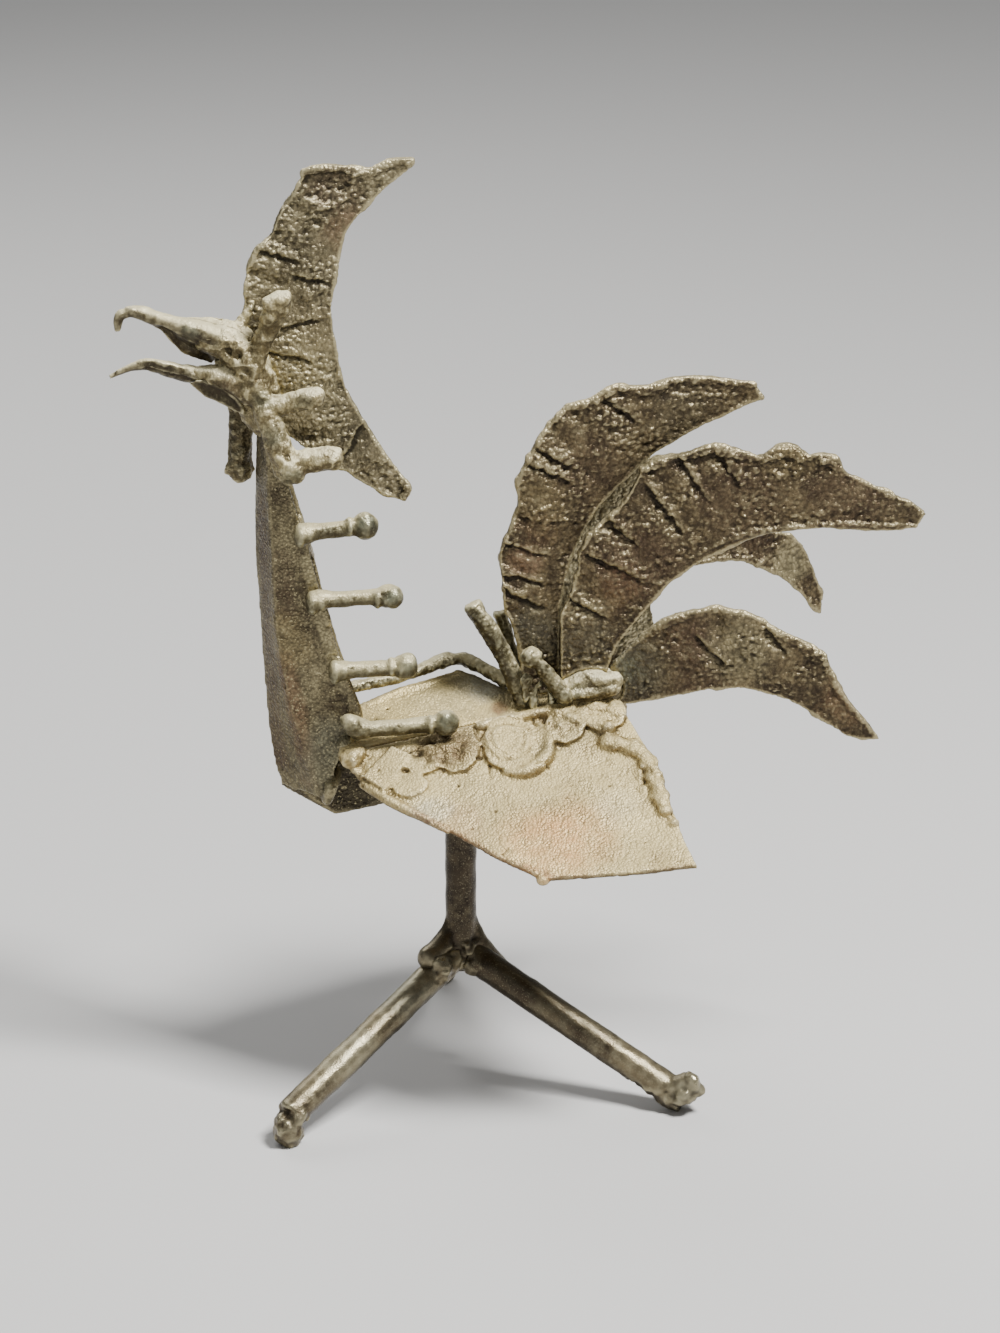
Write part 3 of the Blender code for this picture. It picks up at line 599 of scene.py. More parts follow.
FEATHER = patina("feather_patina", srgb(60, 49, 36), srgb(100, 86, 62), srgb(158, 142, 106), CREAM, 0.4,
                 rough=(0.34, 0.52), grain=0.75, rim=srgb(198, 184, 142), bump=0.5, gritty=0.45,
                 edges=0.6)
NECK = patina("neck_patina", srgb(76, 66, 49), srgb(124, 114, 86), srgb(188, 176, 136), CREAM, 0.25,
              rough=(0.3, 0.46), grain=0.55, glint=0.9, brushed=(1.0, 1.0, 0.06), bump=0.22, gritty=0.5)
COMB = patina("comb_patina", srgb(78, 69, 50), srgb(134, 123, 94), srgb(190, 178, 142), CREAM, 0.45,
              rough=(0.34, 0.52), grain=0.7, rim=srgb(202, 190, 148), bump=0.45, gritty=0.35, edges=0.6)
SHEET = patina("sheet_patina", srgb(120, 101, 66), srgb(172, 150, 100), srgb(222, 202, 142),
               srgb(220, 203, 148), 0.5, grain=0.5, blotch=16.0, bump=0.3, gritty=0.3,
               rim=srgb(222, 208, 166))
ROD = patina("rod_patina", srgb(70, 60, 36), srgb(138, 129, 96), srgb(204, 198, 162), CREAM, 0.75,
             rough=(0.3, 0.5), grain=0.5, blotch=6.0, bump=0.2, gritty=0.15, shade=(0.45, -0.3))
BAR = patina("bar_patina", srgb(62, 51, 37), srgb(110, 99, 76), srgb(160, 152, 124), CREAM, 0.1,
             rough=(0.28, 0.44), grain=0.36, blotch=12.0, glint=0.4, bump=0.1)
WELD = patina("weld_patina", srgb(92, 78, 50), srgb(180, 165, 120), srgb(222, 210, 166),
              srgb(226, 216, 176), 0.95, grain=0.5, blotch=6.0, bump=0.3, gritty=0.35, shade=(0.2, -0.5))
BEAK = patina("beak_patina", srgb(56, 45, 31), srgb(120, 108, 78), srgb(200, 190, 152),
              srgb(216, 206, 164), 0.85, rough=(0.32, 0.52), grain=0.5, blotch=7.0, bump=0.15,
              shade=(0.35, -0.3))

# Flame-cut plates: heights of the lumps and the grains, the melted rim and the creases
COARSE, SANDY = 0.3, 0.6
RIM_WIDTH = 1.5
FOLD_DEPTH = 0.95
FOLD_REACH = 3.6         # the slope under a crease comes back up over this


def flame_cut(piece, seed, grain):
    """The granular relief, thick melted rim and ragged outline that a torch leaves on a plate."""
    p = piece.points
    facing = np.abs(piece.normals()[:, 1])
    ragged = 0.5 * noise(p, 5.0, seed + 11) + 0.35 * noise(p, 2.0, seed + 12)
    ragged = ragged * (1 - ramp(facing, 0.3, 0.8))
    rim = ramp(1 - piece.spread(facing, int((RIM_WIDTH / piece.voxel) ** 2)), 0.12, 0.5)
    p = p * np.array((0.8, 1.0, 1.1))
    lumps = noise(p, 6.0, seed) * 0.6 + noise(p, 2.8, seed + 1) * 0.6
    crests = 0.5 - np.abs(noise(p, 2.2, seed + 4)) * 1.3
    warped = p + 0.55 * np.stack([noise(p, 2.2, seed + 14 + k) for k in range(3)], axis=1)
    sand = grains(warped, grain, seed + 2) + 0.45 * grains(warped, 0.6 * grain, seed + 3) - 0.65
    rough = 0.4 + 0.6 * ramp(noise(p, 7.0, seed + 6), -0.45, 0.3)
    pits = ramp(turbulence(p, 2.4, seed + 9, 2), 0.3, 0.62)
    height = COARSE * lumps + rough * SANDY * (0.5 * crests + sand) - 0.25 * pits * rough
    height = height * (1 - 0.7 * rim) + 0.26 * rim * (1 + 0.6 * noise(p, 3.0, seed + 5))
    piece.push(height + ragged)


def fold(piece, start, end):
    """A crease across the left face: a lip above, a drop below it and a slope back up, with a painted shadow
    under the lip.
    """
    a, b = np.array(start), np.array(end)
    length = np.linalg.norm(b - a)
    along = (b - a) / length
    upper = np.array((-along[2], 0, along[0]))
    if upper[2] < 0:
        upper = -upper
    offset = piece.points - a
    t = offset @ along / length
    d = offset @ upper + 0.5 * noise(piece.points, 3.0, 71) + 0.25 * noise(piece.points, 1.3, 72)
    near = ramp(-piece.normals()[:, 1], 0.2, 0.7)
    fade = ramp(t, -0.3, 0.05) * (1 - ramp(t, 0.55, 1.2))
    below = np.clip(-d, 0, FOLD_REACH)
    drop = ramp(-d, -0.15, 0.5) * (1 - below / FOLD_REACH) ** 1.4
    lip = np.exp(-((d - 0.9) / 0.9) ** 2) * (d > -0.2)
    piece.push(FOLD_DEPTH * (0.25 * lip - drop) * near * fade)
    # A painted shadow along the foot of the lip
    shadow = [start - Vector(upper) * 0.5, start.lerp(end, 0.8) - Vector(upper) * 0.5]
    piece.paint_stain_or_light(shadow, 1.3, SHADE_AND_SOOT, 0.75, 12)


def tinted(piece, node, stains, seed):
    """Tint a piece at the pixels of a table, each row one spot or one line on a CAD node; the rows hold
    stains, painted shade and painted light alike.
    """
    for place, radius, colour, strength in stains:
        piece.paint_stain_or_light(route(node, place), radius, colour, strength, seed)


def plate(name, seed, voxel, folds=(), stains=(), rims=(), scoops=(), material=FEATHER, grain=1.3,
          near_only=False):
    """One flame-cut plate of the comb or tail."""
    clay = Clay(name)
    for pixels, radii in rims:
        clay.trail(route(name, pixels, -0.4), radii)
    piece = Piece(name + "_plate", clay, voxel, 2)
    for start, end in folds:
        fold(piece, on(name, start), on(name, end))
    for pixels, radius, depth in scoops:
        piece.dent(route(name, pixels), radius, depth)
    flame_cut(piece, seed, grain)
    tinted(piece, name, stains, seed)
    if near_only:
        piece.tint[:, 3] *= ramp(-piece.normals()[:, 1], -0.3, 0.3)
    piece.finish(material, "feather", name)


# Creases, hollows, melted rims, heat tints, painted shade and painted light of the plates, as pixels
# of the photograph: a crease has its two ends, a hollow its line, radius and depth, a rim its line and
# radii, and a tint its place, radius, colour and strength
COMB_FOLDS = (
    ((296, 276), (334, 290)), ((280, 327), (325, 319)), ((264, 363), (312, 361)),
    ((345, 455), (380, 440)), ((262, 250), (300, 262)),
)
COMB_SCOOPS = (
    (((318, 186), (338, 186)), 3.4, 0.7), (((300, 232), (318, 238)), 3.0, 0.4),
    (((306, 200), (322, 208), (340, 204), (352, 190), (353, 176)), 0.9, -0.5),
    (((262, 300), (300, 304)), 2.5, 0.3),
)
COMB_RIMS = (
    (((305, 174), (335, 167), (371, 173), (400, 160), (408, 162)), (1.0, 1.2, 1.1, 1.0, 1.5)),
    (((400, 478), (407, 489), (403, 496)), (1.0, 1.4, 1.2)),
)
COMB_STAINS_AND_SHADE = (
    # The first spot is painted shade in the gap between the eye stud and the beak's weld
    ((253, 332), 3.6, SHADE_AND_SOOT, 0.9), ((335, 190), 9, PLUM, 0.55), ((345, 230), 7, RUST, 0.3),
    ((300, 350), 14, GOLD, 0.25), ((310, 380), 12, CREAM, 0.35), ((350, 430), 9, SHADE_AND_SOOT, 0.35),
)
TOP_FOLDS = (
    ((531, 444), (577, 470)), ((527, 462), (577, 486)), ((503, 541), (550, 556)),
    ((503, 575), (550, 584)), ((505, 606), (550, 610)), ((608, 398), (640, 425)),
)
TOP_RIMS = (
    (((570, 408), (590, 405), (617, 389), (647, 392), (682, 380), (753, 385)),
     (0.9, 1.1, 1.3, 1.1, 1.2, 0.9)),
)
TOP_STAINS = (
    ((540, 530), 7, RUST, 0.15), ((525, 563), 6, PINK, 0.35), ((590, 470), 12, PLUM, 0.3),
    ((535, 635), 11, SLATE, 0.45), ((540, 505), 10, GOLD, 0.3), ((680, 410), 12, SLATE, 0.2),
)
UPPER_FOLDS = (
    ((678, 458), (714, 506)), ((650, 490), (688, 540)), ((590, 555), (650, 584)),
    ((560, 605), (612, 620)), ((610, 520), (640, 548)), ((720, 455), (745, 490)),
)
UPPER_RIMS = (
    (((643, 470), (680, 458), (715, 450), (740, 456), (762, 460)), (0.9, 1.0, 1.2, 1.1, 0.9)),
    (((762, 461), (775, 453), (790, 450), (803, 460)), (1.2, 1.8, 1.9, 1.2)),
    (((812, 460), (822, 454), (832, 460), (838, 470)), (1.1, 1.8, 1.7, 1.1)),
    (((690, 558), (722, 542), (760, 531), (820, 525), (870, 525), (915, 526)),
     (0.7, 0.9, 1.0, 1.0, 1.0, 0.8)),
)
UPPER_STAINS = (
    ((640, 560), 14, PLUM, 0.5), ((620, 585), 8, RUST, 0.2), ((745, 500), 16, PLUM, 0.35),
    ((790, 458), 9, GOLD, 0.35), ((585, 645), 11, SLATE, 0.4), ((850, 500), 14, PLUM, 0.4),
)
LOWER_FOLDS = (((700, 640), (730, 670)), ((770, 632), (790, 655)))
LOWER_RIMS = (
    (((612, 665), (640, 640), (670, 622), (716, 611)), (0.8, 1.2, 1.2, 0.9)),
    (((770, 630), (800, 642), (823, 658)), (0.9, 1.3, 1.0)),
    (((830, 662), (852, 695), (876, 735)), (0.8, 0.7, 0.7)),
)
LOWER_STAINS = (
    ((635, 668), 12, SLATE, 0.5), ((690, 640), 9, PLUM, 0.6), ((700, 675), 9, PLUM, 0.4),
    ((740, 650), 12, CREAM, 0.3), ((845, 700), 9, RUST, 0.2), ((605, 672), 9, VERDIGRIS, 0.35),
)
FAR_RIMS = ((((695, 563), (745, 558), (790, 580), (819, 610)), (0.7, 0.8, 0.8, 0.7)),)
# On the far plates: ivory at full strength is painted light on the slivers that show between the near plates;
# the other spots are tints
FAR_STAINS_AND_LIGHT = (((790, 560), 8, CREAM, 0.5), ((760, 545), 8, PLUM, 0.4), ((638, 628), 10, IVORY, 1.0))
SLIVER_PAINTED_LIGHT = (((610, 500), 17, IVORY, 1.0), ((590, 540), 15, IVORY, 1.0), ((574, 590), 14, IVORY, 1.0))


def plates():
    plate("comb", 11, 0.32, COMB_FOLDS, COMB_STAINS_AND_SHADE, COMB_RIMS, COMB_SCOOPS, COMB, 1.0)
    plate("tail_top", 21, 0.33, TOP_FOLDS, TOP_STAINS, TOP_RIMS)
    plate("tail_left_upper", 31, 0.33, UPPER_FOLDS, UPPER_STAINS, UPPER_RIMS)
    plate("tail_left_lower", 41, 0.33, LOWER_FOLDS, LOWER_STAINS, LOWER_RIMS)
    plate("tail_right_lower", 51, 0.44, stains=FAR_STAINS_AND_LIGHT, rims=FAR_RIMS, near_only=True)
    plate("tail_right_upper", 61, 0.44, stains=SLIVER_PAINTED_LIGHT, near_only=True)


def sheet_relief(piece, seed, depth):
    """The slight unevenness of old sheet."""
    p = piece.points
    height = noise(p, 9.0, seed) * 1.6 + noise(p, 2.2, seed + 1) * 0.8
    height = height + (grains(p, 0.95, seed + 2) - 0.45) * 1.1
    pits = ramp(noise(p, 1.6, seed + 4), 0.66, 0.9) * ramp(noise(p, 9.0, seed + 5), 0.0, 0.5)
    piece.push(depth * height - 0.35 * pits)


# The folded neck: painted shade in the dark hollow at its foot, heat along its folds, and beads of weld at
# the spikes
NECK_STAINS_AND_SHADE = (
    # Painted shade in the hollow between the neck's foot and the wing
    (((346, 790), (366, 800)), 8.5, SHADE_AND_SOOT, 0.95),
    (((262, 500), (266, 600), (272, 690), (280, 760)), 3.8, PLUM, 0.6),
    (((284, 660), (292, 695), (302, 740), (308, 780)), 3.6, RUST, 0.35),
    (((280, 560), (284, 610)), 4.0, PLUM, 0.35), (((284, 630), (292, 650)), 7.0, GOLD, 0.5),
    (((318, 770), (335, 740)), 9.0, SAGE, 0.5),
    (((305, 560), (322, 625), (344, 690)), 1.8, CREAM, 0.45),
)
NECK_BEADS = (
    (((300, 520), (306, 540), (312, 556)), (0.9, 1.3, 0.9)),
    (((322, 600), (328, 622)), (1.0, 1.2)),
    (((338, 660), (346, 680), (352, 700), (354, 716)), (1.0, 1.2, 1.5, 2.4)),
    (((352, 730), (345, 744), (341, 758), (335, 770), (331, 786), (327, 800)),
     (2.6, 2.2, 2.6, 2.0, 2.4, 1.4)),
)


def neck():
    node = "neck_sheet"
    clay = Clay(node)
    for pixels, radii in NECK_BEADS:
        clay.trail(route(node, pixels, -0.2), radii)
    piece = Piece("neck_folded_sheet", clay, 0.48, 2)
    sheet_relief(piece, 3, 0.09)
    tinted(piece, node, NECK_STAINS_AND_SHADE, 8)
    piece.finish(NECK, "neck", node, wear_size=1.4)


# Tints of the left wing's face and along its lower edge, with painted shadow under the lowest neck spike and
# painted shade in a pit of the weld
WING_STAINS_AND_SHADOW = (
    ((548, 850), 17, ROSE, 0.65), ((585, 830), 13, ROSE, 0.4), ((470, 800), 11, SLATE, 0.3),
    ((462, 824), 9, PINK, 0.5), ((430, 812), 7, FROST, 0.6), ((618, 805), 8, IVORY, 0.4),
    # Partly dark oxide and partly painted shadow of the lowest neck spike
    ((446, 748), 10, OXIDE_AND_SHADOW, 1.0), ((464, 746), 8, OXIDE_AND_SHADOW, 0.9), ((428, 752), 6, OXIDE_AND_SHADOW, 0.8),
    # The first spot is painted shade in the pit between the flaps
    ((418, 756), 2.5, SHADE_AND_SOOT, 0.9), ((372, 770), 10, GOLD, 0.4), ((570, 735), 7, SLATE, 0.4),
    ((545, 752), 4, SLATE, 0.6), ((606, 730), 5, SLATE, 0.3),
)
WING_EDGE = (
    (((400, 806), (445, 832), (500, 860), (556, 881)), 1.5, RUST, 0.75),
    (((556, 881), (625, 876), (697, 870)), 1.0, PLUM, 0.7),
)
# Flaps of metal on the wing's front and crisp round ones: middle, radii along and down, thickness
WING_FLAPS = (
    (((354, 745), (392, 748), (413, 756), (402, 770), (384, 792), (370, 784), (356, 772)), 1.3),
    (((404, 770), (420, 776), (430, 774), (440, 769), (452, 774), (466, 772), (476, 762), (480, 748),
      (474, 736), (440, 742), (412, 752)), 1.0),
)
WING_ROUNDS = (
    ((409, 786), (4.4, 3.6), 0.8), ((515, 747), (8.4, 7.6), 1.1), ((509, 742), (5.8, 4.4), 1.5),
    ((565, 729), (4.9, 5.0), 1.6), ((604, 716), (5.5, 5.2), 1.5), ((585, 712), (3.4, 3.6), 1.9),
)
# Flat drops of weld: middle, length, width and thickness
WING_DROPS = (
    ((352, 755), 3.4, 3.8, 2.0), ((470, 752), 2.6, 3.2, 1.5), ((560, 711), 4.2, 3.6, 2.0),
    ((572, 722), 2.8, 3.4, 2.2), ((596, 708), 4.0, 3.0, 2.2), ((614, 712), 3.2, 3.6, 2.0),
    ((606, 728), 2.8, 2.4, 1.9), ((543, 880), 1.6, 1.4, 1.2), ((674, 823), 1.3, 1.1, 1.0),
    ((665, 811), 2.0, 1.8, 1.6),
)
# The row of coins near the wing's rear edge
WING_RUN = ((606, 742), (622, 746), (636, 750), (648, 762), (654, 778), (660, 796), (665, 810))
# Smooth beads: lips of the round flap and the front flap, the seam to the back and the lower edge
WING_BEADS = (
    (((540, 726), (549, 744), (543, 762), (526, 773), (506, 773)), (0.8, 1.5, 2.0, 1.8, 0.8)),
    (((402, 764), (394, 780), (384, 791)), (0.9, 1.1, 0.9)),
    (((480, 727), (510, 720), (548, 711), (586, 702), (606, 699)), (1.3, 1.4, 1.6, 1.7, 1.3)),
    (((364, 784), (392, 802), (422, 817), (448, 831)), (1.2, 1.4, 1.2, 0.8)),
)
# Where the weld is crusted, and the middle of the rings on the round flap
WING_CRUST = ((352, 756), (440, 755), (566, 724), (604, 716), (655, 775), (560, 712))
RINGS_MIDDLE = (507, 742)
RING_WIDTH = 1.7
# Pits between the flaps: place, radius and depth
WING_HOLES = (((418, 755), 1.5, 1.4), ((436, 748), 1.2, 1.0), ((424, 770), 1.0, 0.7))
BACK_STAINS_AND_SHADOW = (
    ((420, 705), 22, HONEY, 0.8), ((485, 688), 8, FROST, 0.8), ((468, 682), 7, FROST, 0.5),
    # The last spot is painted shadow of the tail's foot on the plate's rear corner
    ((506, 694), 6, SLATE, 0.6), ((500, 708), 3.5, RUST, 0.9), ((520, 700), 8, SHADE_AND_SOOT, 0.4),
    ((440, 700), 12, CREAM, 0.5),
)
BACK_LIP = ((366, 706), (396, 692), (426, 684), (450, 677), (458, 674))
# The far wing's seam of weld, as pixels of the near one, which it mirrors
FAR_SEAM = ((380, 760), (410, 752), (440, 745), (480, 735), (520, 728), (560, 720), (600, 708))


def wing_slope():
    """The upward normal of the left wing's face."""
    place = on("left_wing", (560, 760))
    along, down = (place - on("left_wing", pixel) for pixel in ((480, 760), (560, 820)))
    slope = -along.cross(down).normalized()
    return -slope if slope.z < 0 else slope


def wing_relief(piece):
    """Rings on the round flap, the sheet's own unevenness and the crust of the weld."""
    rings = piece.distance(route("left_wing", RINGS_MIDDLE)) + 0.7 * noise(piece.points, 4.0, 36)
    within = ramp(rings, 1.5, 4.0) * (1 - ramp(rings, 6.5, 8.5))
    piece.push(0.1 * np.sin(rings * math.tau / RING_WIDTH) * within)
    sheet_relief(piece, 13, 0.12)
    crust = np.zeros(len(piece.points))
    for pixel in WING_CRUST:
        crust = np.maximum(crust, 1 - ramp(piece.distance(route("left_wing", pixel)), 3.0, 8.0))
    rough = 0.5 * noise(piece.points, 2.0, 31) + 0.35 * (grains(piece.points, 1.5, 33) - 0.4)
    piece.push(crust * rough)


def left_wing():
    node = "left_wing"
    clay = Clay(node)
    slope = wing_slope()
    across = (on(node, (600, 780)) - on(node, (500, 780))).normalized()
    down = slope.cross(across)
    for pixels, thickness in WING_FLAPS:
        clay.slab(route(node, pixels), slope, thickness)
    for pixel, radii, thickness in WING_ROUNDS:
        clay.drum(on(node, pixel), slope, across, down, radii, thickness)
    dimes(clay, route(node, WING_RUN, 0.2), slope, 2.3, 1.3, 2.1)
    for pixel, along, wide, thickness in WING_DROPS:
        clay.disc(on(node, pixel, 0.1), slope, wide, thickness, along / wide)
    for pixels, radii in WING_BEADS:
        clay.trail(route(node, pixels, 0.2), radii)
    piece = Piece("left_wing_plate", clay, 0.4, 2)
    wing_relief(piece)
    for pixel, radius, depth in WING_HOLES:
        piece.dent(route(node, pixel), radius, depth)
    tinted(piece, node, WING_STAINS_AND_SHADOW + WING_EDGE, 9)
    piece.finish(SHEET, "body_plate", node)


def back_plate():
    node = "back_plate"
    clay = Clay(node)
    clay.trail(route(node, BACK_LIP, -0.2), (0.6, 0.9, 0.9, 0.8, 0.6))
    piece = Piece("back_plate_sheet", clay, 0.46, 2)
    sheet_relief(piece, 17, 0.07)
    tinted(piece, node, BACK_STAINS_AND_SHADOW, 10)
    piece.finish(SHEET, "body_plate", node)


def right_wing():
    """The hidden wing, plainer than the near one: a seam of weld and the same first stains."""
    node = "right_wing"
    clay = Clay(node)
    seam = [opposite(node, place) for place in route("left_wing", FAR_SEAM)]
    clay.trail(seam, (1.4, 1.9, 1.5, 2.0, 1.6, 1.9, 1.5))
    slope = mirrored(wing_slope())
    for k, place in enumerate(seam[1:-1]):
        clay.disc(place, slope, 3.0 + 1.6 * math.sin(2.2 * k), 1.7, 1.2)
    piece = Piece("right_wing_plate", clay, 0.78, 2)
    sheet_relief(piece, 19, 0.12)
    for k, (pixel, radius, colour, strength) in enumerate(WING_STAINS_AND_SHADOW[:5]):
        piece.paint_stain_or_light([opposite(node, on("left_wing", pixel))], radius, colour, strength, 20 + k)
    piece.finish(SHEET, "body_plate", node)


def rod_relief(piece, seed, depth):
    """The unevenness of rod, beaten sheet and weld metal."""
    p = piece.points
    height = noise(p, 4.0, seed) + 0.6 * noise(p, 1.5, seed + 1) + 0.4 * (grains(p, 0.9, seed + 2) - 0.45)
    piece.push(depth * height)


# Lumps of weld where the legs meet the post, and on the feet: pixels and radii
LEG_LUMPS = {
    "leg_front": (((441, 962), 3.4), ((436, 952), 3.2), ((446, 974), 2.6), ((286, 1120), 3.2),
                  ((294, 1130), 2.4), ((284, 1132), 2.0), ((298, 1120), 2.0)),
    "leg_back": (((470, 966), 2.4), ((700, 1078), 2.4),
                 ((690, 1076), 1.8), ((700, 1090), 2.2), ((684, 1098), 2.6), ((694, 1084), 2.0)),
    "leg_right": (((434, 946), 2.0),),
    "post": (((462, 962), 2.4), ((450, 950), 2.6), ((470, 948), 2.4)),
}
# Smooth fillets of weld from the post to the legs: pixels with the depth, and radii
HIP_RUNS = (
    ((((471, 912), 0), ((474, 928), 0), ((481, 946), 0), ((493, 962), 1), ((506, 974), 2)),
     (1.2, 2.2, 3.0, 3.2, 2.6)),
    ((((451, 914), 0), ((448, 932), -1), ((440, 948), -3), ((430, 958), -5)), (1.2, 2.2, 3.2, 3.4)),
)
# Painted light on the bars: dark brown where the body's shadow falls on the post, the hidden leg and the back
# leg near the hip, and paler patches where the front leg and the back leg's foot are lit
LEG_PAINTED_LIGHT = {
    "leg_front": (((400, 988), 11, SILVER, 0.5), ((340, 1050), 12, SILVER, 0.3)),
    "leg_back": (((500, 965), 16, UMBER, 0.75), ((560, 1015), 18, UMBER, 0.5), ((690, 1095), 8, SILVER, 0.4)),
    "leg_right": (((434, 946), 8, UMBER, 0.8),),
    "post": (((460, 845), 17, UMBER, 1.0), ((460, 900), 18, UMBER, 1.0), ((462, 945), 8, UMBER, 0.5)),
}
FOOT_HEIGHT = 9.0        # the weld knot of each foot reaches this high


def stand():
    for k, (name, lumps) in enumerate(LEG_LUMPS.items()):
        clay = Clay(name)
        for pixel, radius in lumps:
            clay.ball(on(name, pixel, -0.35 * radius), radius)
        for run, radii in HIP_RUNS if name == "post" else ():
            clay.trail(hung(run), radii, 0.3)
        piece = Piece(name + "_bar", clay, 0.54, 3)
        rod_relief(piece, 80 + 3 * k, 0.12)
        knots = np.zeros(len(piece.points))
        for pixel, radius in lumps:
            near = piece.distance(route(name, pixel))
            knots = np.maximum(knots, 1 - ramp(near, radius * 0.8, radius * 1.9))
        knots = np.maximum(knots, 1 - ramp(piece.points[:, 2], FOOT_HEIGHT * 0.7, FOOT_HEIGHT))
        piece.push(knots * (0.5 * noise(piece.points, 2.2, 90 + k) + 0.4 * noise(piece.points, 1.2, 95 + k)))
        tinted(piece, name, LEG_PAINTED_LIGHT[name], 3)
        piece.finish(BAR, "bar", name, wear_size=1.8)


# The neck's four spikes, from the top, and the weld around the bent root of the lowest one
SPIKE_ROOTS = ((306, 534), (318, 602), (341, 671), (361, 727))
SPIKE_TIPS = ((368, 524), (396, 597), (410, 664), (449, 722))
SPIKE_BEND = ((351, 707), (351, 714), (353, 721), (358, 727), (366, 729))
SCRAPS = ("back_rod", "tail_stub", "tail_stub_far", "tail_pin", "tail_loop")
# Melted ends and weld along the scraps, as pixels and radii
SCRAP_RUNS = {
    "tail_pin": ((((527, 648), (526, 656), (529, 662)), (1.9, 2.6, 2.3)),
                 (((538, 660), (548, 672), (558, 686), (566, 696)), (1.6, 2.0, 2.2, 2.5))),
    "back_rod": ((((444, 666), (458, 660), (474, 663), (490, 671), (503, 680)), (1.2, 1.7, 1.8, 1.9, 1.9)),),
    "tail_stub": ((((480, 612), (490, 634), (502, 660), (514, 690)), (2.2, 2.2, 2.0, 2.3)),),
}
STUB_SOOT = ((470, 612), (486, 650), (505, 690))
LEAF_ROOT = (541, 688)
LEAF_ASIDE = -3.6        # the pointed leaf stands this far in front of the loop


def spikes():
    for k, (root, tip) in enumerate(zip(SPIKE_ROOTS, SPIKE_TIPS)):
        name = f"neck_spike_{k + 1}"
        clay = Clay(name)
        base = on(name, root, -2.2)
        clay.ball(base + Vector((0.8, 0, 0)), (2.6, 2.5, 2.4))
        clay.ball(base + Vector((-0.8, 0.4, -0.2)), (1.8, 3.1, 3.3))
        end = on(name, tip, -2.6)
        clay.ball(end + Vector((-3.4, 0, -0.3)), (1.4, 2.6, 2.6))
        clay.ball(end + Vector((0.3, 0, 0.1)), (3.0, 3.0, 3.2))
        if root == SPIKE_ROOTS[-1]:
            clay.trail(route(name, SPIKE_BEND, -1.8), (1.6, 2.3, 2.7, 2.9, 2.5), 0.3)
        piece = Piece(name + "_rod", clay, 0.32, 6)
        rod_relief(piece, 100 + 4 * k, 0.2)
        end = on(name, tip)
        piece.push(0.35 * noise(piece.points, 2.4, 120 + k) * (1 - ramp(piece.distance([end]), 3.0, 6.0)))
        piece.paint_stain_or_light([end], 4.0, VERDIGRIS, 0.6, k)
        # Painted shade on the lower right of the melted end
        piece.paint_stain_or_light([end + Vector((2.0, 0, -2.5))], 3.0, SHADE_AND_SOOT, 0.7, k)
        piece.finish(ROD, "rod", name)


def scraps():
    for k, name in enumerate(SCRAPS):
        clay = Clay(name)
        for pixels, radii in SCRAP_RUNS.get(name, ()):
            clay.trail(route(name, pixels, -0.8 * radii[0]), radii)
        if name == "tail_loop":
            leaf = on(name, LEAF_ROOT) + ACROSS * LEAF_ASIDE
            clay.ball(leaf, (1.2, 0.6, 4.2))
            clay.ball(leaf + Vector((0.3, 0, 1.6)), (1.9, 0.6, 2.2))
        piece = Piece(name + "_rod", clay, 0.31, 4)
        rod_relief(piece, 140 + 4 * k, 0.34)
        piece.push(0.2 * (grains(piece.points, 1.1, 160 + k) - 0.4))
        if name == "tail_stub":
            piece.paint_stain_or_light(route(name, STUB_SOOT), 2.2, UMBER, 0.8, 5)
        piece.finish(ROD, "rod", name)


# Weld metal of the head, as pixels with the depth from the body's middle, and radii
HEAD_RUNS = (
    ((((206, 338), -3), ((222, 342), -4), ((236, 350), -5), ((248, 366), -5.5), ((256, 386), -6)),
     (3.2, 4.2, 4.4, 4.2, 3.4)),
    ((((212, 328), 0), ((226, 332), -1), ((236, 340), -2)), (2.6, 3.2, 3.2)),
    ((((206, 325), 0.3), ((222, 327), 0), ((236, 331), -0.4), ((246, 336), -0.8)), (1.9, 2.1, 2.2, 2.0)),
    ((((230, 336), -1), ((240, 325), 0), ((247, 314), 0.3), ((251, 303), 0.3)), (2.2, 1.7, 1.4, 1.1)),
    ((((192, 372), -3), ((212, 374), -4), ((232, 380), -5.5), ((250, 394), -6)), (1.2, 2.4, 3.2, 3.0)),
    ((((252, 372), -7), ((258, 352), -7), ((266, 330), -8), ((273, 310), -9)), (2.8, 2.5, 2.4, 2.3)),
    ((((268, 304), -9.4), ((277, 300), -9.6), ((285, 298), -9.8)), (1.9, 2.2, 2.0)),
    ((((258, 386), -6), ((262, 404), -7), ((270, 430), -8), ((280, 452), -9), ((290, 470), -9.5)),
     (3.0, 2.9, 2.7, 2.9, 3.9)),
    ((((264, 404), -7), ((284, 405), -8), ((304, 399), -9), ((314, 397), -9.6)), (2.7, 2.6, 2.8, 2.7)),
    ((((292, 464), -8.6), ((312, 460), -9.2), ((332, 458), -9.8)), (3.2, 2.9, 3.1)),
)
# Pits of the head, each darkened with painted shade: pixel, depth behind the middle, radius and how deep
HEAD_PITS = (
    ((228, 352), -8.6, 1.3, 1.2), ((237, 358), -9.6, 0.8, 1.8), ((246, 374), -9.8, 1.0, 0.9),
    ((216, 343), -7, 1.0, 0.6), ((256, 402), -10, 1.0, 0.9), ((240, 388), -9, 1.1, 0.8),
    ((289, 456), -12.5, 1.0, 0.9), ((331, 452), -12.5, 0.9, 0.5),
)
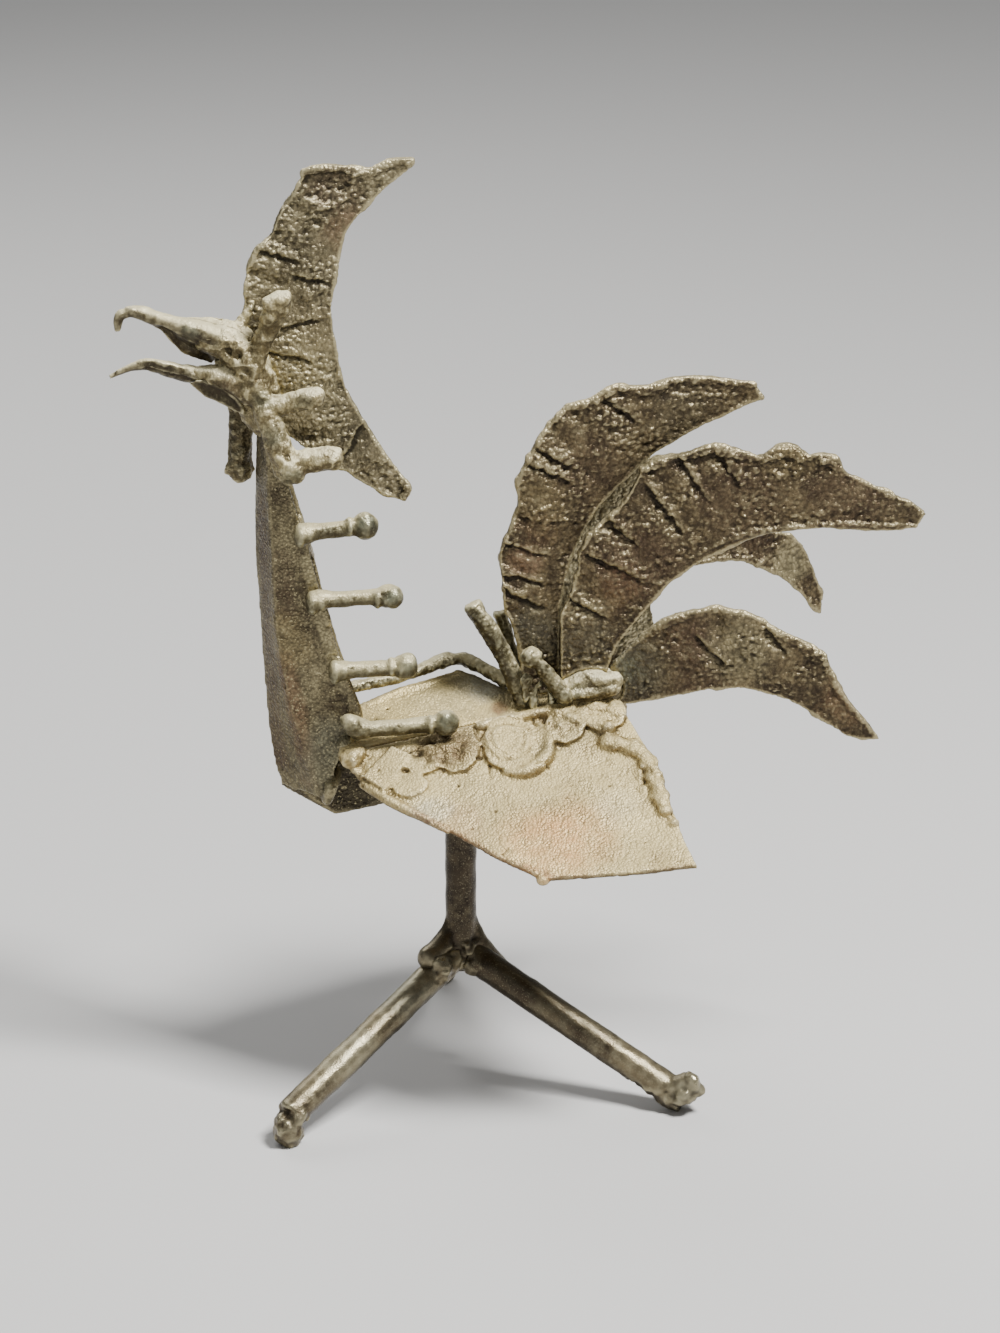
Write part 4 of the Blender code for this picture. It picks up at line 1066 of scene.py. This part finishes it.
# Tints of the head's weld: the first spot is painted shade in the gap between the eye stud and the beak's
# weld, and the two small dark spots on the eye stud are painted shade on its right side
HEAD_STAINS_AND_SHADE = (
    ((250, 333), -2.5, 2.8, SHADE_AND_SOOT, 0.85), ((228, 388), -8, 4.0, PLUM, 0.6),
    ((262, 400), -10, 3.5, VERDIGRIS, 0.5), ((272, 436), -11, 4.0, VERDIGRIS, 0.4),
    ((292, 478), -12, 4.0, VERDIGRIS, 0.7), ((268, 330), -11, 3.6, OLIVE, 0.9),
    ((262, 350), -10, 3.6, OLIVE, 0.9), ((279, 320), -10, 2.0, SHADE_AND_SOOT, 0.6),
    ((272, 342), -9.5, 2.0, SHADE_AND_SOOT, 0.6), ((259, 364), -10, 3.0, OLIVE, 0.5),
    ((304, 404), -12, 3.5, VERDIGRIS, 0.3), ((236, 346), -9, 5.0, GOLD, 0.4),
    ((215, 336), -6, 4.0, CREAM, 0.5),
)
# The rods that are melted into the head's weld
HEAD_RODS = ("eye_stud_left", "eye_stud_right", "ear_spike", "wattle_left", "cheek_spike")
# Lips and hollows of the beaks and of the leaf under them
BEAK_RUNS = (
    (((129, 314), (145, 314), (170, 321), (195, 330), (218, 338)), (1.3, 1.9, 2.3, 2.7, 3.2)),
    (((126, 313), (119, 316), (117, 323), (120, 329)), (1.3, 1.4, 1.3, 1.0)),
    (((134, 308), (146, 307), (158, 309)), (1.3, 1.7, 1.3)),
)
UPPER_HOLLOW = ((160, 336), (175, 343), (190, 351), (204, 359))
UPPER_STEP = (222, 319)
LOWER_LIP = ((116, 369), (132, 361), (146, 357), (175, 362), (200, 370))
LOWER_HOLLOW = ((150, 368), (170, 374), (186, 378))
LEAF_LIP = ((196, 381), (214, 384), (234, 396), (250, 411))
# The knob at the tail's foot, as steps from its pixel and radii, and the runs of weld around it
KNOB = (600, 682)
KNOB_BALLS = (
    ((0.5, 0.8, 0.2), (4.6, 2.0, 2.2)), ((3.8, 1.6, -0.4), (2.8, 2.0, 2.6)),
    ((2.4, 0.6, -2.2), (3.4, 2.2, 1.8)),
)
TAIL_CRUST = (
    (((566, 692), (576, 682), (588, 675), (602, 670)), (1.0, 1.1, 1.2, 0.9)),
    (((572, 696), (586, 694), (602, 690)), (1.4, 1.6, 1.4)),
)


def head_weld():
    clay = Clay("head", *HEAD_RODS)
    for run, radii in HEAD_RUNS:
        clay.trail(hung(run), radii, 0.3)
    piece = Piece("head_weld", clay, 0.3, 4)
    p = piece.points
    crust = 0.5 - np.abs(noise(p, 2.0, 204)) * 1.6
    piece.push(0.28 * noise(p, 3.0, 201) + 0.2 * noise(p, 1.4, 202) + 0.26 * crust
               + 0.16 * (grains(p, 0.95, 203) - 0.4))
    for pixel, depth, radius, sink in HEAD_PITS:
        piece.dent([seen(pixel, depth)], radius + 0.5, sink)
        # Painted shade in the pit
        piece.paint_stain_or_light([seen(pixel, depth)], radius * 1.7, SHADE_AND_SOOT, 0.85, 4)
    for pixel, depth, radius, colour, strength in HEAD_STAINS_AND_SHADE:
        piece.paint_stain_or_light([seen(pixel, depth)], radius, colour, strength, 4)
    piece.finish(WELD, "weld", "head", *HEAD_RODS)


def far_wattle():
    node = "wattle_right"
    piece = Piece("wattle_right_weld", Clay(node), 0.36, 4)
    rod_relief(piece, 204, 0.7)
    piece.paint_stain_or_light(route(node, (242, 440)), 14, SHADE_AND_SOOT, 0.85, 5)
    piece.finish(WELD, "weld", node)


def upper_beak():
    node = "upper_beak"
    clay = Clay(node)
    for pixels, radii in BEAK_RUNS:
        clay.trail(route(node, pixels, -1.0), radii, 0.3)
    piece = Piece("upper_beak_sheet", clay, 0.29, 3)
    piece.dent(route(node, UPPER_HOLLOW), 2.0, 1.5)
    piece.dent(route(node, UPPER_STEP), 2.0, 0.9)
    rod_relief(piece, 240, 0.2)
    # Painted shade along the hollow under the beak's top
    tinted(piece, node, [(pixel, 2.6, SHADE_AND_SOOT, 0.85) for pixel in UPPER_HOLLOW], 6)
    piece.paint_stain_or_light(route(node, (190, 330)), 3.5, VERDIGRIS, 0.5, 6)
    piece.finish(BEAK, "beak", node)


def lower_beak():
    node = "lower_beak"
    clay = Clay(node)
    clay.trail(route(node, LOWER_LIP, -0.3), (0.7, 0.8, 1.1, 0.9, 0.9))
    piece = Piece("lower_beak_sheet", clay, 0.29, 3)
    piece.dent(route(node, LOWER_HOLLOW), 1.3, 0.8)
    rod_relief(piece, 244, 0.2)
    # Painted shade along the hollow, darkening the lower beak's underside
    tinted(piece, node, [(pixel, 2.6, SHADE_AND_SOOT, 0.7) for pixel in LOWER_HOLLOW], 6)
    piece.finish(BEAK, "beak", node)


def throat_leaf():
    node = "throat_leaf"
    clay = Clay(node)
    clay.trail(route(node, LEAF_LIP, -0.2), (0.6, 0.8, 0.9, 0.7))
    piece = Piece("throat_leaf_sheet", clay, 0.26, 3)
    rod_relief(piece, 248, 0.25)
    piece.paint_stain_or_light(route(node, (225, 392)), 9, SHADE_AND_SOOT, 0.6, 6)
    piece.finish(BEAK, "beak", node)


def tail_weld():
    node = "tail_weld"
    clay = Clay(node)
    corner = on(node, KNOB)
    for step, radii in KNOB_BALLS:
        clay.ball(corner + Vector(step), radii)
    for pixels, radii in TAIL_CRUST:
        clay.trail(route(node, pixels, -0.5), radii, 0.3)
    piece = Piece("tail_weld_metal", clay, 0.3, 5)
    rod_relief(piece, 260, 0.3)
    piece.push(0.16 * (grains(piece.points, 1.0, 264) - 0.4))
    piece.paint_stain_or_light(route(node, (575, 690)), 4, VERDIGRIS, 0.5, 6)
    piece.paint_stain_or_light([corner], 5, SLATE, 0.5, 6)
    piece.finish(WELD, "weld", node)


# The studio, in metres and watts: each lamp's place from the rooster's middle, size and power
FLOOR_REACH = 4.0
FLOOR_COLOUR = (0.62, 0.61, 0.59, 1)
SKY_COLOUR = (0.75, 0.77, 0.8, 1)
SKY_STRENGTH = 0.24
LAMPS = {"key": ((0.42, -0.4, 1.0), 0.3, 30.0), "fill": ((-0.9, -0.8, 0.3), 0.9, 2.0),
         "rim": ((-0.3, 0.8, 0.7), 0.6, 5.0)}


def floor():
    mesh = bpy.data.meshes.new("floor")
    r = FLOOR_REACH
    mesh.from_pydata([(-r, -r, 0), (r, -r, 0), (r, r, 0), (-r, r, 0)], [], [(0, 1, 2, 3)])
    ground = bpy.data.objects.new("floor", mesh)
    bpy.context.scene.collection.objects.link(ground)
    paper = bpy.data.materials.new("pale_floor")
    paper.use_nodes = True
    shader = paper.node_tree.nodes["Principled BSDF"]
    shader.inputs["Base Color"].default_value = FLOOR_COLOUR
    shader.inputs["Roughness"].default_value = 0.85
    mesh.materials.append(paper)


def lights():
    centre = (MIDDLE + AIM) * MM
    for name, (place, size, power) in LAMPS.items():
        lamp = bpy.data.lights.new(name, "AREA")
        lamp.size = size
        lamp.energy = power
        light = bpy.data.objects.new(name, lamp)
        light.location = centre + Vector(place)
        light.rotation_euler = (centre - light.location).to_track_quat("-Z", "Y").to_euler()
        bpy.context.scene.collection.objects.link(light)
    world = bpy.data.worlds.new("studio")
    world.use_nodes = True
    sky = world.node_tree.nodes["Background"]
    sky.inputs["Color"].default_value = SKY_COLOUR
    sky.inputs["Strength"].default_value = SKY_STRENGTH
    bpy.context.scene.world = world


def camera():
    """The photograph's camera."""
    lens = bpy.data.cameras.new("camera")
    lens.lens = LENS
    lens.sensor_width = SENSOR
    lens.clip_start = 0.05
    view = bpy.data.objects.new("camera", lens)
    view.location = EYE * MM
    view.rotation_mode = "QUATERNION"
    view.rotation_quaternion = (-BACK).to_track_quat("-Z", "Y")
    bpy.context.scene.collection.objects.link(view)
    bpy.context.scene.camera = view


plates()
neck()
left_wing()
back_plate()
right_wing()
stand()
spikes()
scraps()
head_weld()
far_wattle()
upper_beak()
lower_beak()
throat_leaf()
tail_weld()
floor()
lights()
camera()
